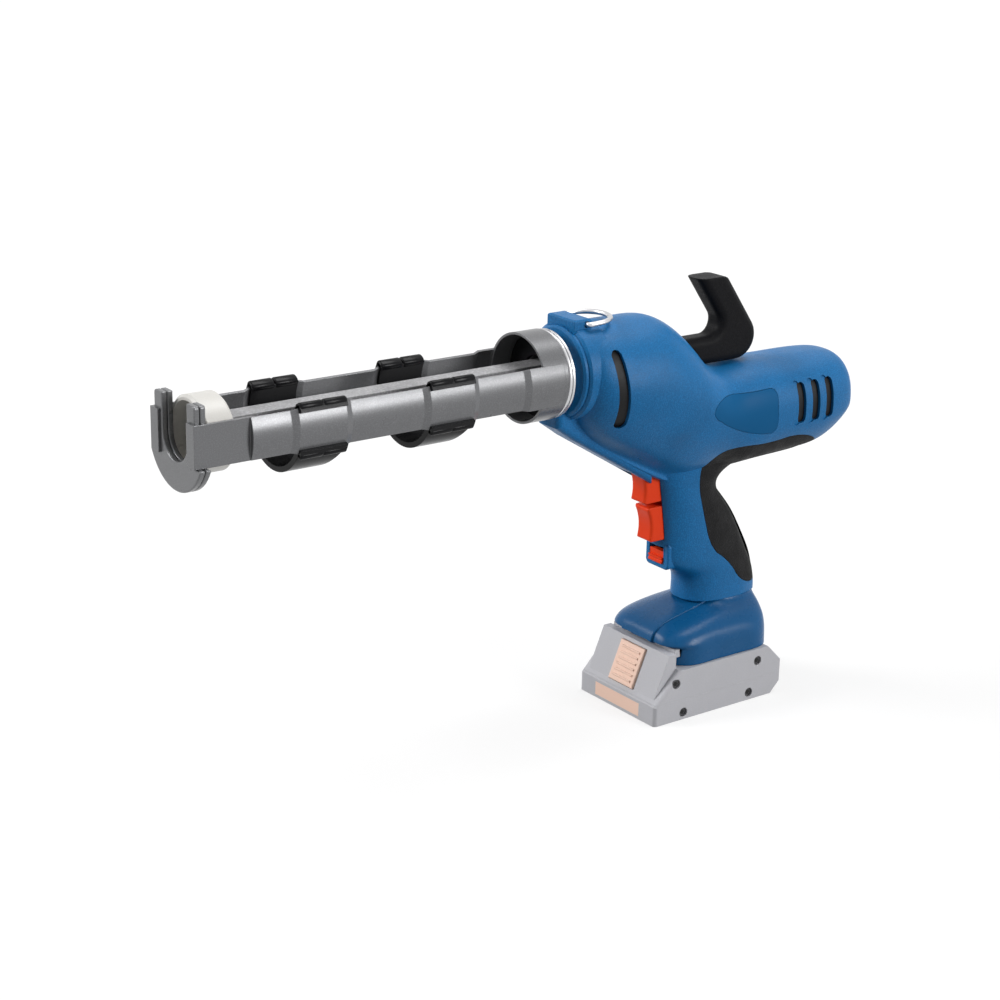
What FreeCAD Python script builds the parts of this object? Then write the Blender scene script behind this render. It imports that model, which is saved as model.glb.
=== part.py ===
import FreeCAD, Part
import math
import os
import Sketcher
from FreeCAD import Placement, Rotation, Vector
from types import SimpleNamespace

# A cordless caulking tool. The origin is the centre of the battery's base, +X points to
# the nozzle end, +Y to the tool's left and +Z up. All lengths are in millimetres.

SIZES = {
    # Stance
    "axis_height": 234,
    "running_gap": 0.35,
    "fit_gap": 0.05,
    "overrun": 60,
    # Cartridge holder
    "collar_front": 138,
    "collar_length": 14.2,
    "collar_lead": 3.5,
    "collar_radius": 27.5,
    "sheet": 1.5,
    "holder_reach": 233.4,
    "rail_radius": 25.8,
    "rail_half_height": 12.1,
    "rail_step_length": 4,
    "weld_lap": 10.5,
    "collar_land": 14.2,
    "saddle_length": 30,
    "front_saddle_centre": 156,
    "rear_saddle_centre": 70,
    "saddle_gap": 0.15,
    "saddle_lip": 3.2,
    "saddle_lip_turn": 3.2,
    "saddle_wall": 2.2,
    "saddle_slant": 12,
    "flat_length": 34,
    "flat_half_width": 22.5,
    "tab_reach": 8.3,
    "plate_radius": 30.3,
    "plate_thickness": 3.2,
    "plate_seam": 0.4,
    "plate_arm_top": 21.8,
    "nozzle_slot_radius": 13.5,
    # Neck
    "neck_radius": 19,
    "neck_bore": 12.2,
    "neck_plate_radius": 25.2,
    "neck_plate_thickness": 2.5,
    "retaining_radius": 27,
    "retaining_length": 4.6,
    "retaining_groove": 0.9,
    "neck_root": 12,
    "lip_radius": 28.2,
    "lip_length": 3.4,
    "second_lip_radius": 30.2,
    "second_lip_length": 5,
    "lip_round": 1.4,
    # Push rod
    "rod_width": 14,
    "rod_height": 16,
    "rod_rear": 20,
    "rod_travel": 205,
    "piston_front": 224,
    "piston_length": 18,
    "piston_radius": 22,
    "piston_wall": 5,
    "piston_skirt": 3.2,
    "piston_round": 1.6,
    "screw_radius": 4,
    "screw_head_radius": 8.5,
    "screw_head_length": 5,
    "screw_depth": 16,
    "tang_length": 16,
    "tang_width": 10,
    "handle_half_width": 8.5,
    "handle_stem_top": 7.9,
    "handle_stem_bottom": 10.4,
    "handle_thickness": 19.9,
    "handle_lean": 35.7,
    "handle_tip": 6.6,
    "handle_top": 45.6,
    "handle_inner_bend": 8,
    "handle_outer_bend": 15,
    "handle_top_round": 12,
    "handle_edge_round": 5.5,
    "handle_pin_radius": 2,
    # Final drive
    "rack_module": 1.75,
    "rack_spare_teeth": 2,
    "pinion_teeth": 12,
    "pinion_width": 11,
    "final_module": 1.5,
    "lay_gear_teeth": 14,
    "final_gear_teeth": 22,
    "final_width": 6.5,
    "final_side": 8,
    "bevel_module": 1.6,
    "bevel_pinion_teeth": 12,
    "bevel_wheel_teeth": 20,
    "bevel_face": 7,
    "bevel_back": 5,
    "pressure_angle": 25,
    "addendum_share": 0.8,
    "dedendum_share": 1.1,
    "tooth_backlash": 0.35,
    "drive_x": 48.5,
    "shaft_radius": 4,
    "bush_radius": 6.5,
    "frame_half_width": 19.5,
    "frame_wall": 3.5,
    "frame_back": 4,
    "frame_front_margin": 9,
    "frame_depth": 8,
    "guide_length": 9,
    "guide_radius": 14,
    # Motor line
    "gearbox_radius": 21,
    "gearbox_length": 28,
    "motor_radius": 23,
    "motor_length": 74,
    "motor_end_length": 9,
    "motor_end_radius": 19,
    "motor_air": 7.5,
    "rib_thickness": 3,
    # Moulded body
    "wall": 3.5,
    "skin": 2,
    "hump_front": 104.5,
    "hump_length": 115,
    "hump_rise": 28,
    "hump_depth": 86,
    "hump_half_width": 38,
    "tail_end": -119,
    "tail_length": 92,
    "grip_top": 172,
    "grip_seam": 67,
    "grip_front": 34,
    "grip_back": -57,
    "grip_half_width": 19.3,
    "chin_half_width": 11,
    "chin_front": 118,
    "chin_top": 20,
    "chin_lip": 33,
    "chin_step": 42.5,
    "chin_end": 40,
    "chin_depth": 81.2,
    "chin_round": 4,
    "vent_width": 7.4,
    "hump_vent_x": 90,
    "hump_vent_top": 12.5,
    "hump_vent_bottom": -29,
    "hump_vent_lean": 4,
    "tail_vent_x": -64.1,
    "tail_vent_pitch": 12.8,
    "tail_vent_width": 6,
    "tail_vent_half_length": 10.2,
    "tail_vent_lift": 5.8,
    "scallop_width": 5.4,
    "scallop_offset": 4.2,
    "scallop_margin": 1.5,
    "baffle_margin": 2,
    "baffle_thickness": 2.2,
    "label_front": 15,
    "label_length": 57,
    "label_height": 29,
    "label_lift": 4.5,
    "label_thickness": 0.8,
    "insert_gap": 0.25,
    # Strap lug and its ring
    "lug_front": 110,
    "lug_length": 13,
    "lug_half_width": 13,
    "lug_top": 33.4,
    "lug_round": 1.5,
    "ring_wire": 1.6,
    "ring_leg": 6.5,
    "ring_pin_depth": 6,
    "ring_height": 30.2,
    "ring_tilt": 2.5,
    "ring_bend": 2,
    # Triggers and lock
    "trigger_half_width": 7,
    "release_front": 47.5,
    "release_top": 162,
    "release_bottom": 139,
    "switch_front": 41.2,
    "switch_top": 135.8,
    "switch_bottom": 112.5,
    "trigger_depth": 24,
    "trigger_hollow_depth": 2.6,
    "trigger_round": 1.8,
    "trigger_slope": 6,
    "switch_travel": 6,
    "module_length": 22,
    "module_half_width": 10,
    "module_height": 30,
    "lock_half_width": 6.5,
    "lock_height": 8,
    "lock_bottom": 96,
    "lock_travel": 3,
    "lock_front": 25.4,
    "lock_thickness": 4,
    "lock_thumb": 1.6,
    # Speed dial
    "dial_radius": 13.5,
    "dial_length": 6.2,
    "dial_ribs": 18,
    "dial_rib_radius": 1.1,
    "dial_stem_radius": 5,
    "dial_stem_length": 8,
    # Body screws
    "body_screw_radius": 1.9,
    "body_screw_head": 3.4,
    "body_screw_head_length": 2.6,
    "body_screw_seat": 9,
    "body_screw_depth": 10,
    "boss_radius": 5.5,
    # Battery foot
    "foot_front": 33,
    "foot_back": -49,
    "foot_half_width": 36,
    "foot_wall": 5,
    "foot_ridge": 1.8,
    "foot_ridge_half_width": 14.5,
    "foot_ridge_back": -6,
    "rail_lip": 4.5,
    "rail_lip_height": 5.5,
    "foot_rear_wall": 6,
    "terminal_length": 34,
    "terminal_half_width": 15,
    "terminal_height": 9,
    "terminal_x": -24,
    "blade_thickness": 0.8,
    "blade_length": 16,
    "blade_height": 8,
    "blade_pitch": 6.5,
    "board_length": 34,
    "board_half_width": 12,
    "board_thickness": 1.6,
    # Battery pack
    "pack_front": 54,
    "pack_back": -54,
    "pack_half_width": 37.9,
    "pack_side_height": 34.4,
    "pack_split": 14,
    "pack_corner": 7.5,
    "pack_back_slope": 11.5,
    "pack_front_height": 13,
    "pack_nose_height": 44,
    "pack_nose_back": 33.6,
    "pack_nose_top": 39.5,
    "pack_nose_low": 51.8,
    "pack_nose_half_width": 33,
    "pack_wall": 2.5,
    "tongue_height": 11.5,
    "cell_radius": 9.1,
    "cell_length": 65,
    "cell_count": 5,
    "cell_pitch": 18.5,
    "cell_shift": 1,
    "button_half_width": 12,
    "button_length": 27,
    "button_thickness": 2.4,
    "button_rise": 1.6,
    "button_travel": 1.6,
    "button_rib": 0.8,
    "button_ribs": 6,
    "bumper_half_width": 22,
    "bumper_height": 9,
    "bumper_thickness": 2.4,
    "pack_screw_head": 3.2,
    "pack_screw_inset": 1.2,
    "pack_screw_length": 3.5,
}


class Size(float):
    """A length that keeps the sheet formula it was worked out from."""

    def __new__(cls, value, formula):
        size = super().__new__(cls, value)
        size.formula = formula
        return size

    def __add__(self, other):
        return Size(float(self) + float(other), f"({formula_of(self)} + {formula_of(other)})")

    def __radd__(self, other):
        return Size(float(other) + float(self), f"({formula_of(other)} + {formula_of(self)})")

    def __sub__(self, other):
        return Size(float(self) - float(other), f"({formula_of(self)} - {formula_of(other)})")

    def __rsub__(self, other):
        return Size(float(other) - float(self), f"({formula_of(other)} - {formula_of(self)})")

    def __mul__(self, other):
        return Size(float(self) * float(other), f"({formula_of(self)} * {formula_of(other)})")

    __rmul__ = __mul__

    def __truediv__(self, other):
        return Size(float(self) / float(other), f"({formula_of(self)} / {formula_of(other)})")

    def __neg__(self):
        return Size(-float(self), f"(0 - {formula_of(self)})")


def formula_of(value):
    return value.formula if isinstance(value, Size) else f"({float(value)!r})"


doc = FreeCAD.newDocument("caulking_tool")
sheet = doc.addObject("Spreadsheet::Sheet", "Sizes")
for row, (alias, value) in enumerate(SIZES.items(), start=1):
    sheet.set(f"A{row}", alias)
    sheet.set(f"B{row}", str(value))
    sheet.setAlias(f"B{row}", alias)
doc.recompute()
s = SimpleNamespace(**{alias: Size(sheet.get(alias), f"Sizes.{alias}") for alias in SIZES})
nodes = []


# Shared helpers

OUTLINE_ARCS = 16
CENTRE = Vector(0, 0, 0)
FORWARD = Vector(1, 0, 0)
BACKWARD = Vector(-1, 0, 0)
LEFT = Vector(0, 1, 0)
RIGHT = Vector(0, -1, 0)
UP = Vector(0, 0, 1)
DOWN = Vector(0, 0, -1)
TURNS = {"X": Rotation(LEFT, 90), "Y": Rotation(FORWARD, -90), "Z": Rotation()}


def bind(piece, name, value):
    setattr(piece, name, float(value))
    if isinstance(value, Size):
        piece.setExpression(name, value.formula)


def place(piece, x, y, z, turn=Rotation()):
    piece.Placement = Placement(Vector(x, y, z), turn)
    for letter, value in zip("xyz", (x, y, z)):
        if isinstance(value, Size):
            piece.setExpression(f"Placement.Base.{letter}", value.formula)
    return piece


def node(piece, label):
    piece.Label = label
    nodes.append(piece)
    return piece


def block(name, length, width, height, x, y, z):
    """A box whose Y is centred on y and whose X and Z start at x and z."""
    piece = doc.addObject("Part::Box", name)
    bind(piece, "Length", length)
    bind(piece, "Width", width)
    bind(piece, "Height", height)
    return place(piece, x, y - width / 2, z)


def cylinder(name, radius, length, x, y, z, axis):
    piece = doc.addObject("Part::Cylinder", name)
    bind(piece, "Radius", radius)
    bind(piece, "Height", length)
    return place(piece, x, y, z, TURNS[axis])


def cut(name, base, *tools):
    for index, tool in enumerate(tools):
        result = doc.addObject("Part::Cut", f"{name}_cut_{index}")
        result.Base = base
        result.Tool = tool
        base = result
    return base


def fuse(name, *pieces):
    result = doc.addObject("Part::MultiFuse", f"{name}_fuse")
    result.Shapes = list(pieces)
    result.Refine = True
    return result


def common(name, base, tool):
    result = doc.addObject("Part::Common", f"{name}_common")
    result.Base = base
    result.Tool = tool
    return result


def feature(name, shape):
    piece = doc.addObject("Part::Feature", f"{name}_form")
    piece.Shape = shape
    return piece


def origin_plane(body, role):
    return next(item for item in body.Origin.OriginFeatures if item.Role == role)


def outline_sketch(body, role, outline):
    """A closed sketch of straight sides whose corners are bound to the sheet."""
    sketch = body.newObject("Sketcher::SketchObject", f"{body.Name}_outline")
    sketch.AttachmentSupport = [(origin_plane(body, role), "")]
    sketch.MapMode = "FlatFace"
    corners = [Vector(first, second, 0) for first, second in outline]
    count = len(corners)
    for index, corner in enumerate(corners):
        sketch.addGeometry(Part.LineSegment(corner, corners[(index + 1) % count]), False)
    for index in range(count):
        sketch.addConstraint(Sketcher.Constraint("Coincident", index, 2, (index + 1) % count, 1))
    for index, pair in enumerate(outline):
        for kind, value in zip(("DistanceX", "DistanceY"), pair):
            number = sketch.addConstraint(Sketcher.Constraint(kind, -1, 1, index, 1, float(value)))
            if isinstance(value, Size):
                sketch.setExpression(f"Constraints[{number}]", value.formula)
    return sketch


def revolved(name, outline, x=0, y=0, z=0, angle=360, turn=Rotation()):
    """A body turned about its own X axis from an outline of (along, radius) corners."""
    body = doc.addObject("PartDesign::Body", name)
    sketch = outline_sketch(body, "XY_Plane", outline)
    spin = body.newObject("PartDesign::Revolution", f"{name}_revolution")
    spin.Profile = sketch
    spin.ReferenceAxis = (sketch, ["H_Axis"])
    spin.Midplane = True
    bind(spin, "Angle", angle)
    body.Tip = spin
    return place(body, x, y, z, turn)


def slab(outline, start, end):
    """A flat XZ outline drawn out along Y."""
    corners = [Vector(x, start, z) for x, z in outline]
    face = Part.Face(Part.makePolygon(corners + corners[:1]))
    return face.extrude(Vector(0, end - start, 0))


def smooth_slab(outline, start, end):
    """A closed smooth XZ outline, drawn as arcs and then out along Y."""
    curve = Part.BSplineCurve()
    curve.interpolate(Points=[Vector(x, start, z) for x, z in outline], PeriodicFlag=True)
    points = curve.discretize(2 * OUTLINE_ARCS + 1)
    arcs = [Part.Arc(*points[first:first + 3]).toShape() for first in range(0, 2 * OUTLINE_ARCS, 2)]
    return Part.Face(Part.Wire(arcs)).extrude(Vector(0, end - start, 0))


def drawn_in(outline, gap):
    """The corners of an outline that runs anticlockwise as seen from -Y, moved inwards by a gap."""
    count = len(outline)
    moved = []
    for index, (x, z) in enumerate(outline):
        before_x, before_z = outline[index - 1]
        after_x, after_z = outline[(index + 1) % count]
        run_x = after_x - before_x
        run_z = after_z - before_z
        length = math.hypot(run_x, run_z)
        moved.append((x - gap * run_z / length, z + gap * run_x / length))
    return moved


def stadium(x_top, z_top, x_bottom, z_bottom, width, start, end):
    """A slot with round ends between two XZ points, drawn out along Y."""
    run = Vector(x_bottom - x_top, 0, z_bottom - z_top)
    side = run.cross(LEFT).normalize() * (width / 2)
    cap = Vector(run).normalize() * (width / 2)
    top = Vector(x_top, start, z_top)
    bottom = Vector(x_bottom, start, z_bottom)
    edges = [
        Part.LineSegment(top + side, bottom + side).toShape(),
        Part.Arc(bottom + side, bottom + cap, bottom - side).toShape(),
        Part.LineSegment(bottom - side, top - side).toShape(),
        Part.Arc(top - side, top - cap, top + side).toShape(),
    ]
    return Part.Face(Part.Wire(edges)).extrude(Vector(0, end - start, 0))


def rounded(shape, radius, wanted):
    return shape.makeFillet(radius, [edge for edge in shape.Edges if wanted(edge)])


def without(shape, tools):
    for tool in tools:
        shape = shape.cut(tool)
    return shape


def mirrored(shape):
    return shape.mirror(CENTRE, LEFT)


# Places that several pieces share

axis = s.axis_height
holder_front = s.collar_front + s.holder_reach
collar_rear = s.collar_front - s.collar_length
rack_addendum = s.rack_module * s.addendum_share
pinion_radius = s.rack_module * s.pinion_teeth / 2
pinion_z = axis - s.rod_height / 2 + rack_addendum - pinion_radius
final_span = s.final_module * (s.lay_gear_teeth + s.final_gear_teeth) / 2
motor_z = pinion_z - final_span
bevel_wheel_radius = s.bevel_module * s.bevel_wheel_teeth / 2
bevel_pinion_back = s.drive_x - bevel_wheel_radius - s.bevel_back
gearbox_front = bevel_pinion_back - s.frame_back - s.running_gap
motor_front = gearbox_front - s.gearbox_length
motor_rear = motor_front - s.motor_length
tail_radius = s.motor_radius + s.motor_air + s.wall
pack_top = s.pack_side_height
rail_angle = 2 * math.degrees(math.asin(s.rail_half_height / (s.rail_radius + s.sheet)))
ring_x = s.lug_front - s.lug_length + s.ring_wire * 2
ring_z = axis + s.ring_height


# Moulded body: half sections, each lofted from its middle plane outwards

SECTION_STEPS = 10
# Shares along the hump, of its rise, of its depth, of its half width, and the height of
# its widest line as a share of the depth
HUMP_SHARES = (
    (0.000, 0.93, 0.36, 0.735, 0.02),
    (0.030, 0.985, 0.43, 0.825, 0.05),
    (0.085, 1.00, 0.51, 0.905, 0.09),
    (0.200, 1.00, 0.62, 0.975, 0.14),
    (0.380, 1.00, 0.76, 1.000, 0.19),
    (0.530, 0.95, 0.87, 1.000, 0.24),
    (0.640, 0.72, 0.94, 0.985, 0.30),
    (0.745, 0.34, 0.97, 0.960, 0.37),
    (0.850, -0.12, 0.96, 0.930, 0.44),
    (0.950, -0.365, 0.945, 0.905, 0.49),
)
# Shares along the tail, then of its radius above the motor, below it and to the side
TAIL_SHARES = (
    (0.000, 0.965, 1.03, 1.00),
    (0.260, 0.950, 1.00, 0.99),
    (0.520, 0.940, 0.98, 0.975),
    (0.720, 0.930, 0.90, 0.945),
    (0.860, 0.900, 0.695, 0.88),
    (0.945, 0.825, 0.490, 0.785),
    (0.990, 0.670, 0.345, 0.620),
    (1.000, 0.580, 0.310, 0.540),
)
# Shares of the way down from the grip's top to its seam, of the run from its front to its
# back for the two ends of each section, and of its half width
GRIP_SHARES = (
    (0.000, -0.070, 1.060, 1.040),
    (0.095, -0.035, 0.895, 0.990),
    (0.133, -0.011, 0.728, 0.950),
    (0.171, 0.005, 0.623, 0.930),
    (0.219, 0.016, 0.558, 0.917),
    (0.276, 0.027, 0.551, 0.907),
    (0.333, 0.038, 0.593, 0.907),
    (0.438, 0.055, 0.691, 0.917),
    (0.552, 0.071, 0.774, 0.933),
    (0.648, 0.076, 0.834, 0.943),
    (0.722, 0.094, 0.878, 0.953),
    (0.782, 0.190, 0.911, 0.960),
    (0.833, 0.284, 0.934, 0.969),
    (0.905, 0.312, 0.956, 0.984),
    (1.000, 0.312, 0.966, 1.000),
)
# Shares of the way down from the seam to the foot's lower edge, of the run from its front
# to its back, and of its half width
FOOT_SHARES = (
    (0.000, 0.440, 1.034, 0.536),
    (0.080, 0.350, 1.040, 0.580),
    (0.190, 0.200, 1.038, 0.730),
    (0.310, 0.080, 1.030, 0.865),
    (0.430, 0.028, 1.018, 0.945),
    (0.580, 0.008, 1.008, 0.988),
    (0.760, 0.003, 1.000, 1.000),
    (1.000, 0.000, 1.000, 1.000),
)
HUMP_POWERS = (2.15, 1.75)
TAIL_POWERS = (2.35, 2.15)
GRIP_POWER = 2.5
FOOT_POWERS = (2.5, 2.6, 3.0, 3.5, 4.2, 5.0, 6.0, 6.5)


def half_section(top, widest, bottom):
    """The half of a rounded section, from its top round the left side to its bottom."""
    centre, across, upper_power, lower_power = widest
    points = []
    for step in range(SECTION_STEPS + 1):
        turn = math.pi * step / SECTION_STEPS
        end, power = (top, upper_power) if 2 * step <= SECTION_STEPS else (bottom, lower_power)
        along = abs(math.cos(turn))
        out = abs(math.sin(turn))
        reach = (along ** power + out ** power) ** (-1 / power)
        points.append(centre + across * (out * reach) + (end - centre) * (along * reach))
    points[0] = top
    points[-1] = bottom
    curve = Part.BSplineCurve()
    curve.interpolate(Points=points, Parameters=[float(step) for step in range(SECTION_STEPS + 1)],
                      InitialTangent=across, FinalTangent=-across)
    return curve


def skinned(sections):
    """A solid half whose smooth side runs over half sections, closed on its middle plane."""
    rows = [section.getPoles() for section in sections]
    places = [0.0]
    for before, after in zip(rows, rows[1:]):
        steps = [(end - start).Length for start, end in zip(before, after)]
        places.append(places[-1] + sum(steps) / len(steps))
    lines = []
    for column in zip(*rows):
        line = Part.BSplineCurve()
        line.interpolate(Points=list(column), Parameters=places)
        lines.append(line)
    around = sections[0]
    along = lines[0]
    side = Part.BSplineSurface()
    side.buildFromPolesMultsKnots(
        [line.getPoles() for line in lines], around.getMultiplicities(), along.getMultiplicities(),
        around.getKnots(), along.getKnots(), False, False, around.Degree, along.Degree)
    ends = [section.toShape() for section in (sections[0], sections[-1])]
    chords = [Part.LineSegment(section.EndPoint, section.StartPoint).toShape()
              for section in (sections[0], sections[-1])]
    edges = Part.__sortEdges__([lines[0].toShape(), lines[-1].toShape()] + chords)
    faces = [side.toShape(), Part.Face(Part.Wire(edges))]
    faces += [Part.Face(Part.Wire([end, chord])) for end, chord in zip(ends, chords)]
    shell = Part.Shell(faces)
    shell.sewShape()
    solid = Part.Solid(shell)
    if solid.Volume < 0:
        solid.reverse()
    return solid


def hump_sections(inset):
    sections = []
    for along, rise, depth, width, low in HUMP_SHARES:
        x = s.hump_front - s.hump_length * along
        if along == 0:
            x = x - inset
        half = s.hump_half_width * width - inset
        sections.append(half_section(
            Vector(x, 0, axis + s.hump_rise * rise - inset),
            (Vector(x, 0, axis - s.hump_depth * low), Vector(0, half, 0), *HUMP_POWERS),
            Vector(x, 0, axis - s.hump_depth * depth + inset)))
    return sections


def tail_sections(inset):
    sections = []
    for along, above, below, width in TAIL_SHARES:
        x = s.tail_end + s.tail_length * (1 - along)
        if along == 1:
            x = x + inset
        half = tail_radius * width - inset
        sections.append(half_section(
            Vector(x, 0, motor_z + tail_radius * above - inset),
            (Vector(x, 0, motor_z), Vector(0, half, 0), *TAIL_POWERS),
            Vector(x, 0, motor_z - tail_radius * below + inset)))
    return sections


def level_section(z, front, back, half, power):
    middle = (front + back) / 2
    return half_section(Vector(front, 0, z),
                     (Vector(middle, 0, z), Vector(0, half, 0), power, power),
                     Vector(back, 0, z))


def grip_sections(inset):
    run = s.grip_back - s.grip_front
    sections = []
    for down, front, back, width in GRIP_SHARES:
        z = s.grip_top - (s.grip_top - s.grip_seam) * down
        sections.append(level_section(z, s.grip_front + run * front - inset,
                                s.grip_front + run * back + inset,
                                s.grip_half_width * width - inset, GRIP_POWER))
    return sections


def foot_sections(inset):
    run = s.foot_back - s.foot_front
    sections = []
    for (down, front, back, width), power in zip(FOOT_SHARES, FOOT_POWERS):
        z = s.grip_seam - (s.grip_seam - pack_top - s.running_gap) * down
        sections.append(level_section(z, s.foot_front + run * front - inset,
                                s.foot_front + run * back + inset,
                                s.foot_half_width * width - inset, power))
    return sections


def half_body(inset):
    """The left half of the moulded body, drawn in by an inset, without chin or neck."""
    barrel = skinned(hump_sections(inset) + tail_sections(inset))
    return barrel.fuse(skinned(grip_sections(inset)))


def chin_half():
    """The flat keel under the neck that runs back to the triggers."""
    outline = (
        (s.chin_front, axis - s.chin_top),
        (s.chin_front, axis - s.chin_lip),
        (s.hump_front, axis - s.chin_step),
        (s.chin_end, axis - s.chin_depth),
        (s.chin_end, axis - s.chin_step),
        (s.hump_front - s.lug_length, axis - s.chin_top),
    )
    solid = slab(outline, 0, s.chin_half_width)
    return rounded(solid, s.chin_round, lambda edge: all(
        abs(point.Point.y - s.chin_half_width) < s.fit_gap for point in edge.Vertexes))


def neck_half():
    """The stepped lip where the body meets the turning holder."""
    lip_front = s.hump_front + s.second_lip_length + s.lip_length
    inner = s.neck_radius
    outline = (
        (s.hump_front - s.lug_length, inner),
        (lip_front, inner),
        (lip_front, s.lip_radius - s.lip_round),
        (lip_front - s.lip_round, s.lip_radius),
        (s.hump_front + s.second_lip_length, s.lip_radius),
        (s.hump_front + s.second_lip_length, s.second_lip_radius - s.lip_round),
        (s.hump_front + s.second_lip_length - s.lip_round, s.second_lip_radius),
        (s.hump_front - s.lug_length, s.second_lip_radius),
    )
    corners = [Vector(x, 0, axis - radius) for x, radius in outline]
    face = Part.Face(Part.makePolygon(corners + corners[:1]))
    return face.revolve(Vector(0, 0, axis), FORWARD, 180)


TAIL_SLOTS = 3


def vent_slots(margin):
    """The cooling slots of one side, widened all round by a margin."""
    width = s.vent_width + 2 * margin
    slots = [stadium(s.hump_vent_x, axis + s.hump_vent_top, s.hump_vent_x - s.hump_vent_lean,
                     axis + s.hump_vent_bottom, width, 0, s.overrun)]
    for index in range(TAIL_SLOTS):
        x = s.tail_vent_x - s.tail_vent_pitch * index
        slots.append(stadium(x, motor_z + s.tail_vent_lift + s.tail_vent_half_length, x,
                             motor_z + s.tail_vent_lift - s.tail_vent_half_length,
                             s.tail_vent_width + 2 * margin, 0, s.overrun))
    return slots


def vent_scallops():
    """Shallow hollows that lead forward out of the tail slots."""
    half_length = s.tail_vent_half_length + s.scallop_margin
    scallops = []
    for index in range(TAIL_SLOTS):
        x = s.tail_vent_x - s.tail_vent_pitch * index + s.scallop_offset
        scallops.append(stadium(x, motor_z + s.tail_vent_lift + half_length, x,
                                motor_z + s.tail_vent_lift - half_length, s.scallop_width, 0, s.overrun))
    return scallops


# Corners of the soft grip's edge as shares of the grip's run back and of its drop
OVERMOULD_SHARES = (
    (1.360, 0.080), (1.400, 0.250), (1.400, 0.600), (1.250, 0.900), (1.000, 0.935),
    (0.860, 0.940), (0.760, 0.915), (0.680, 0.850), (0.602, 0.765), (0.520, 0.712),
    (0.430, 0.625), (0.385, 0.530), (0.335, 0.380), (0.295, 0.240), (0.292, 0.120),
    (0.335, 0.040), (0.430, -0.005), (0.640, -0.012), (0.900, -0.012), (1.140, -0.010),
    (1.240, 0.020),
)


def overmould_area(gap):
    run = s.grip_back - s.grip_front
    drop = s.grip_top - s.grip_seam
    outline = [(s.grip_front + run * back, s.grip_top - drop * down)
               for back, down in OVERMOULD_SHARES]
    return smooth_slab(drawn_in(outline, gap), 0, s.overrun)


# Corners of the bare label insert as shares of its length and height
LABEL_SHARES = (
    (0.00, 0.72), (0.03, 0.86), (0.12, 0.97), (0.50, 1.00), (0.88, 1.00), (0.97, 0.97),
    (1.00, 0.88), (1.00, 0.50), (1.00, 0.12), (0.96, 0.02), (0.86, 0.00), (0.50, 0.16),
    (0.20, 0.42), (0.05, 0.60),
)


def label_area(gap):
    outline = [(s.label_front - s.label_length * along,
                motor_z + s.label_lift + s.label_height * (up - 1 / 2)) for along, up in LABEL_SHARES]
    return smooth_slab(drawn_in(outline, gap), 0, s.overrun)


def frame_extent():
    """The gear frame's X range and Z range."""
    front = s.drive_x + s.frame_front_margin
    back = bevel_pinion_back - s.frame_back
    bottom = motor_z - s.frame_depth
    top = pinion_z + s.bush_radius + s.frame_wall
    return back, front, bottom, top


module_x = s.switch_front - s.trigger_depth - s.switch_travel - s.running_gap - s.module_length
module_z = s.switch_bottom - s.trigger_slope
# Places of the body's screws as shares of the grip's run back and of its drop
SCREW_SHARES = ((0.40, 0.21), (0.46, 0.86))
screw_places = [
    (s.hump_front - s.lug_length, axis - s.chin_step),
    (s.tail_end + s.tail_length + s.overrun / 2,
     motor_z + s.gearbox_radius + s.boss_radius + s.running_gap),
] + [(s.grip_front + (s.grip_back - s.grip_front) * back,
      s.grip_top - (s.grip_top - s.grip_seam) * down) for back, down in SCREW_SHARES]


def moulded_half(outer, inner, middle):
    """The left half shell with its ribs, seats and openings, alike on both sides."""
    shell = outer.cut(inner)
    ribs = []
    for x in (motor_front - s.rib_thickness * 4, motor_rear + s.rib_thickness * 4):
        ring = Part.makeCylinder(tail_radius, s.rib_thickness, Vector(x, 0, motor_z), FORWARD)
        ribs.append(ring.cut(Part.makeCylinder(
            s.motor_radius + s.fit_gap, s.rib_thickness, Vector(x, 0, motor_z), FORWARD)))
    back, front, bottom, top = frame_extent()
    post_z = motor_z - s.frame_depth + s.boss_radius
    for x in (back + s.boss_radius, front - s.boss_radius):
        ribs.append(Part.makeCylinder(s.boss_radius, s.overrun, Vector(x, s.frame_half_width, post_z),
                                      LEFT))
    guide_x = s.rod_rear + s.guide_length
    guide_rib = Part.makeBox(s.rib_thickness, s.overrun, s.overrun, Vector(guide_x, 0, top + s.running_gap))
    ribs.append(guide_rib.cut(Part.makeCylinder(
        s.guide_radius, s.overrun, Vector(0, 0, axis), FORWARD)))
    module_rib = Part.makeBox(s.rib_thickness, s.overrun, s.module_height,
                              Vector(module_x + s.module_length / 2, 0, module_z))
    module_room = Part.makeBox(s.module_length, s.module_half_width, s.module_height,
                               Vector(module_x, 0, module_z))
    ribs.append(module_rib.cut(module_room))
    for x, z in screw_places:
        ribs.append(Part.makeCylinder(s.boss_radius, s.overrun, Vector(x, 0, z), LEFT))
    for rib in [rib.common(outer) for rib in ribs] + [neck_half(), chin_half().cut(inner)]:
        shell = shell.fuse(rib)
    return without(shell, opening_tools(middle))


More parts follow.
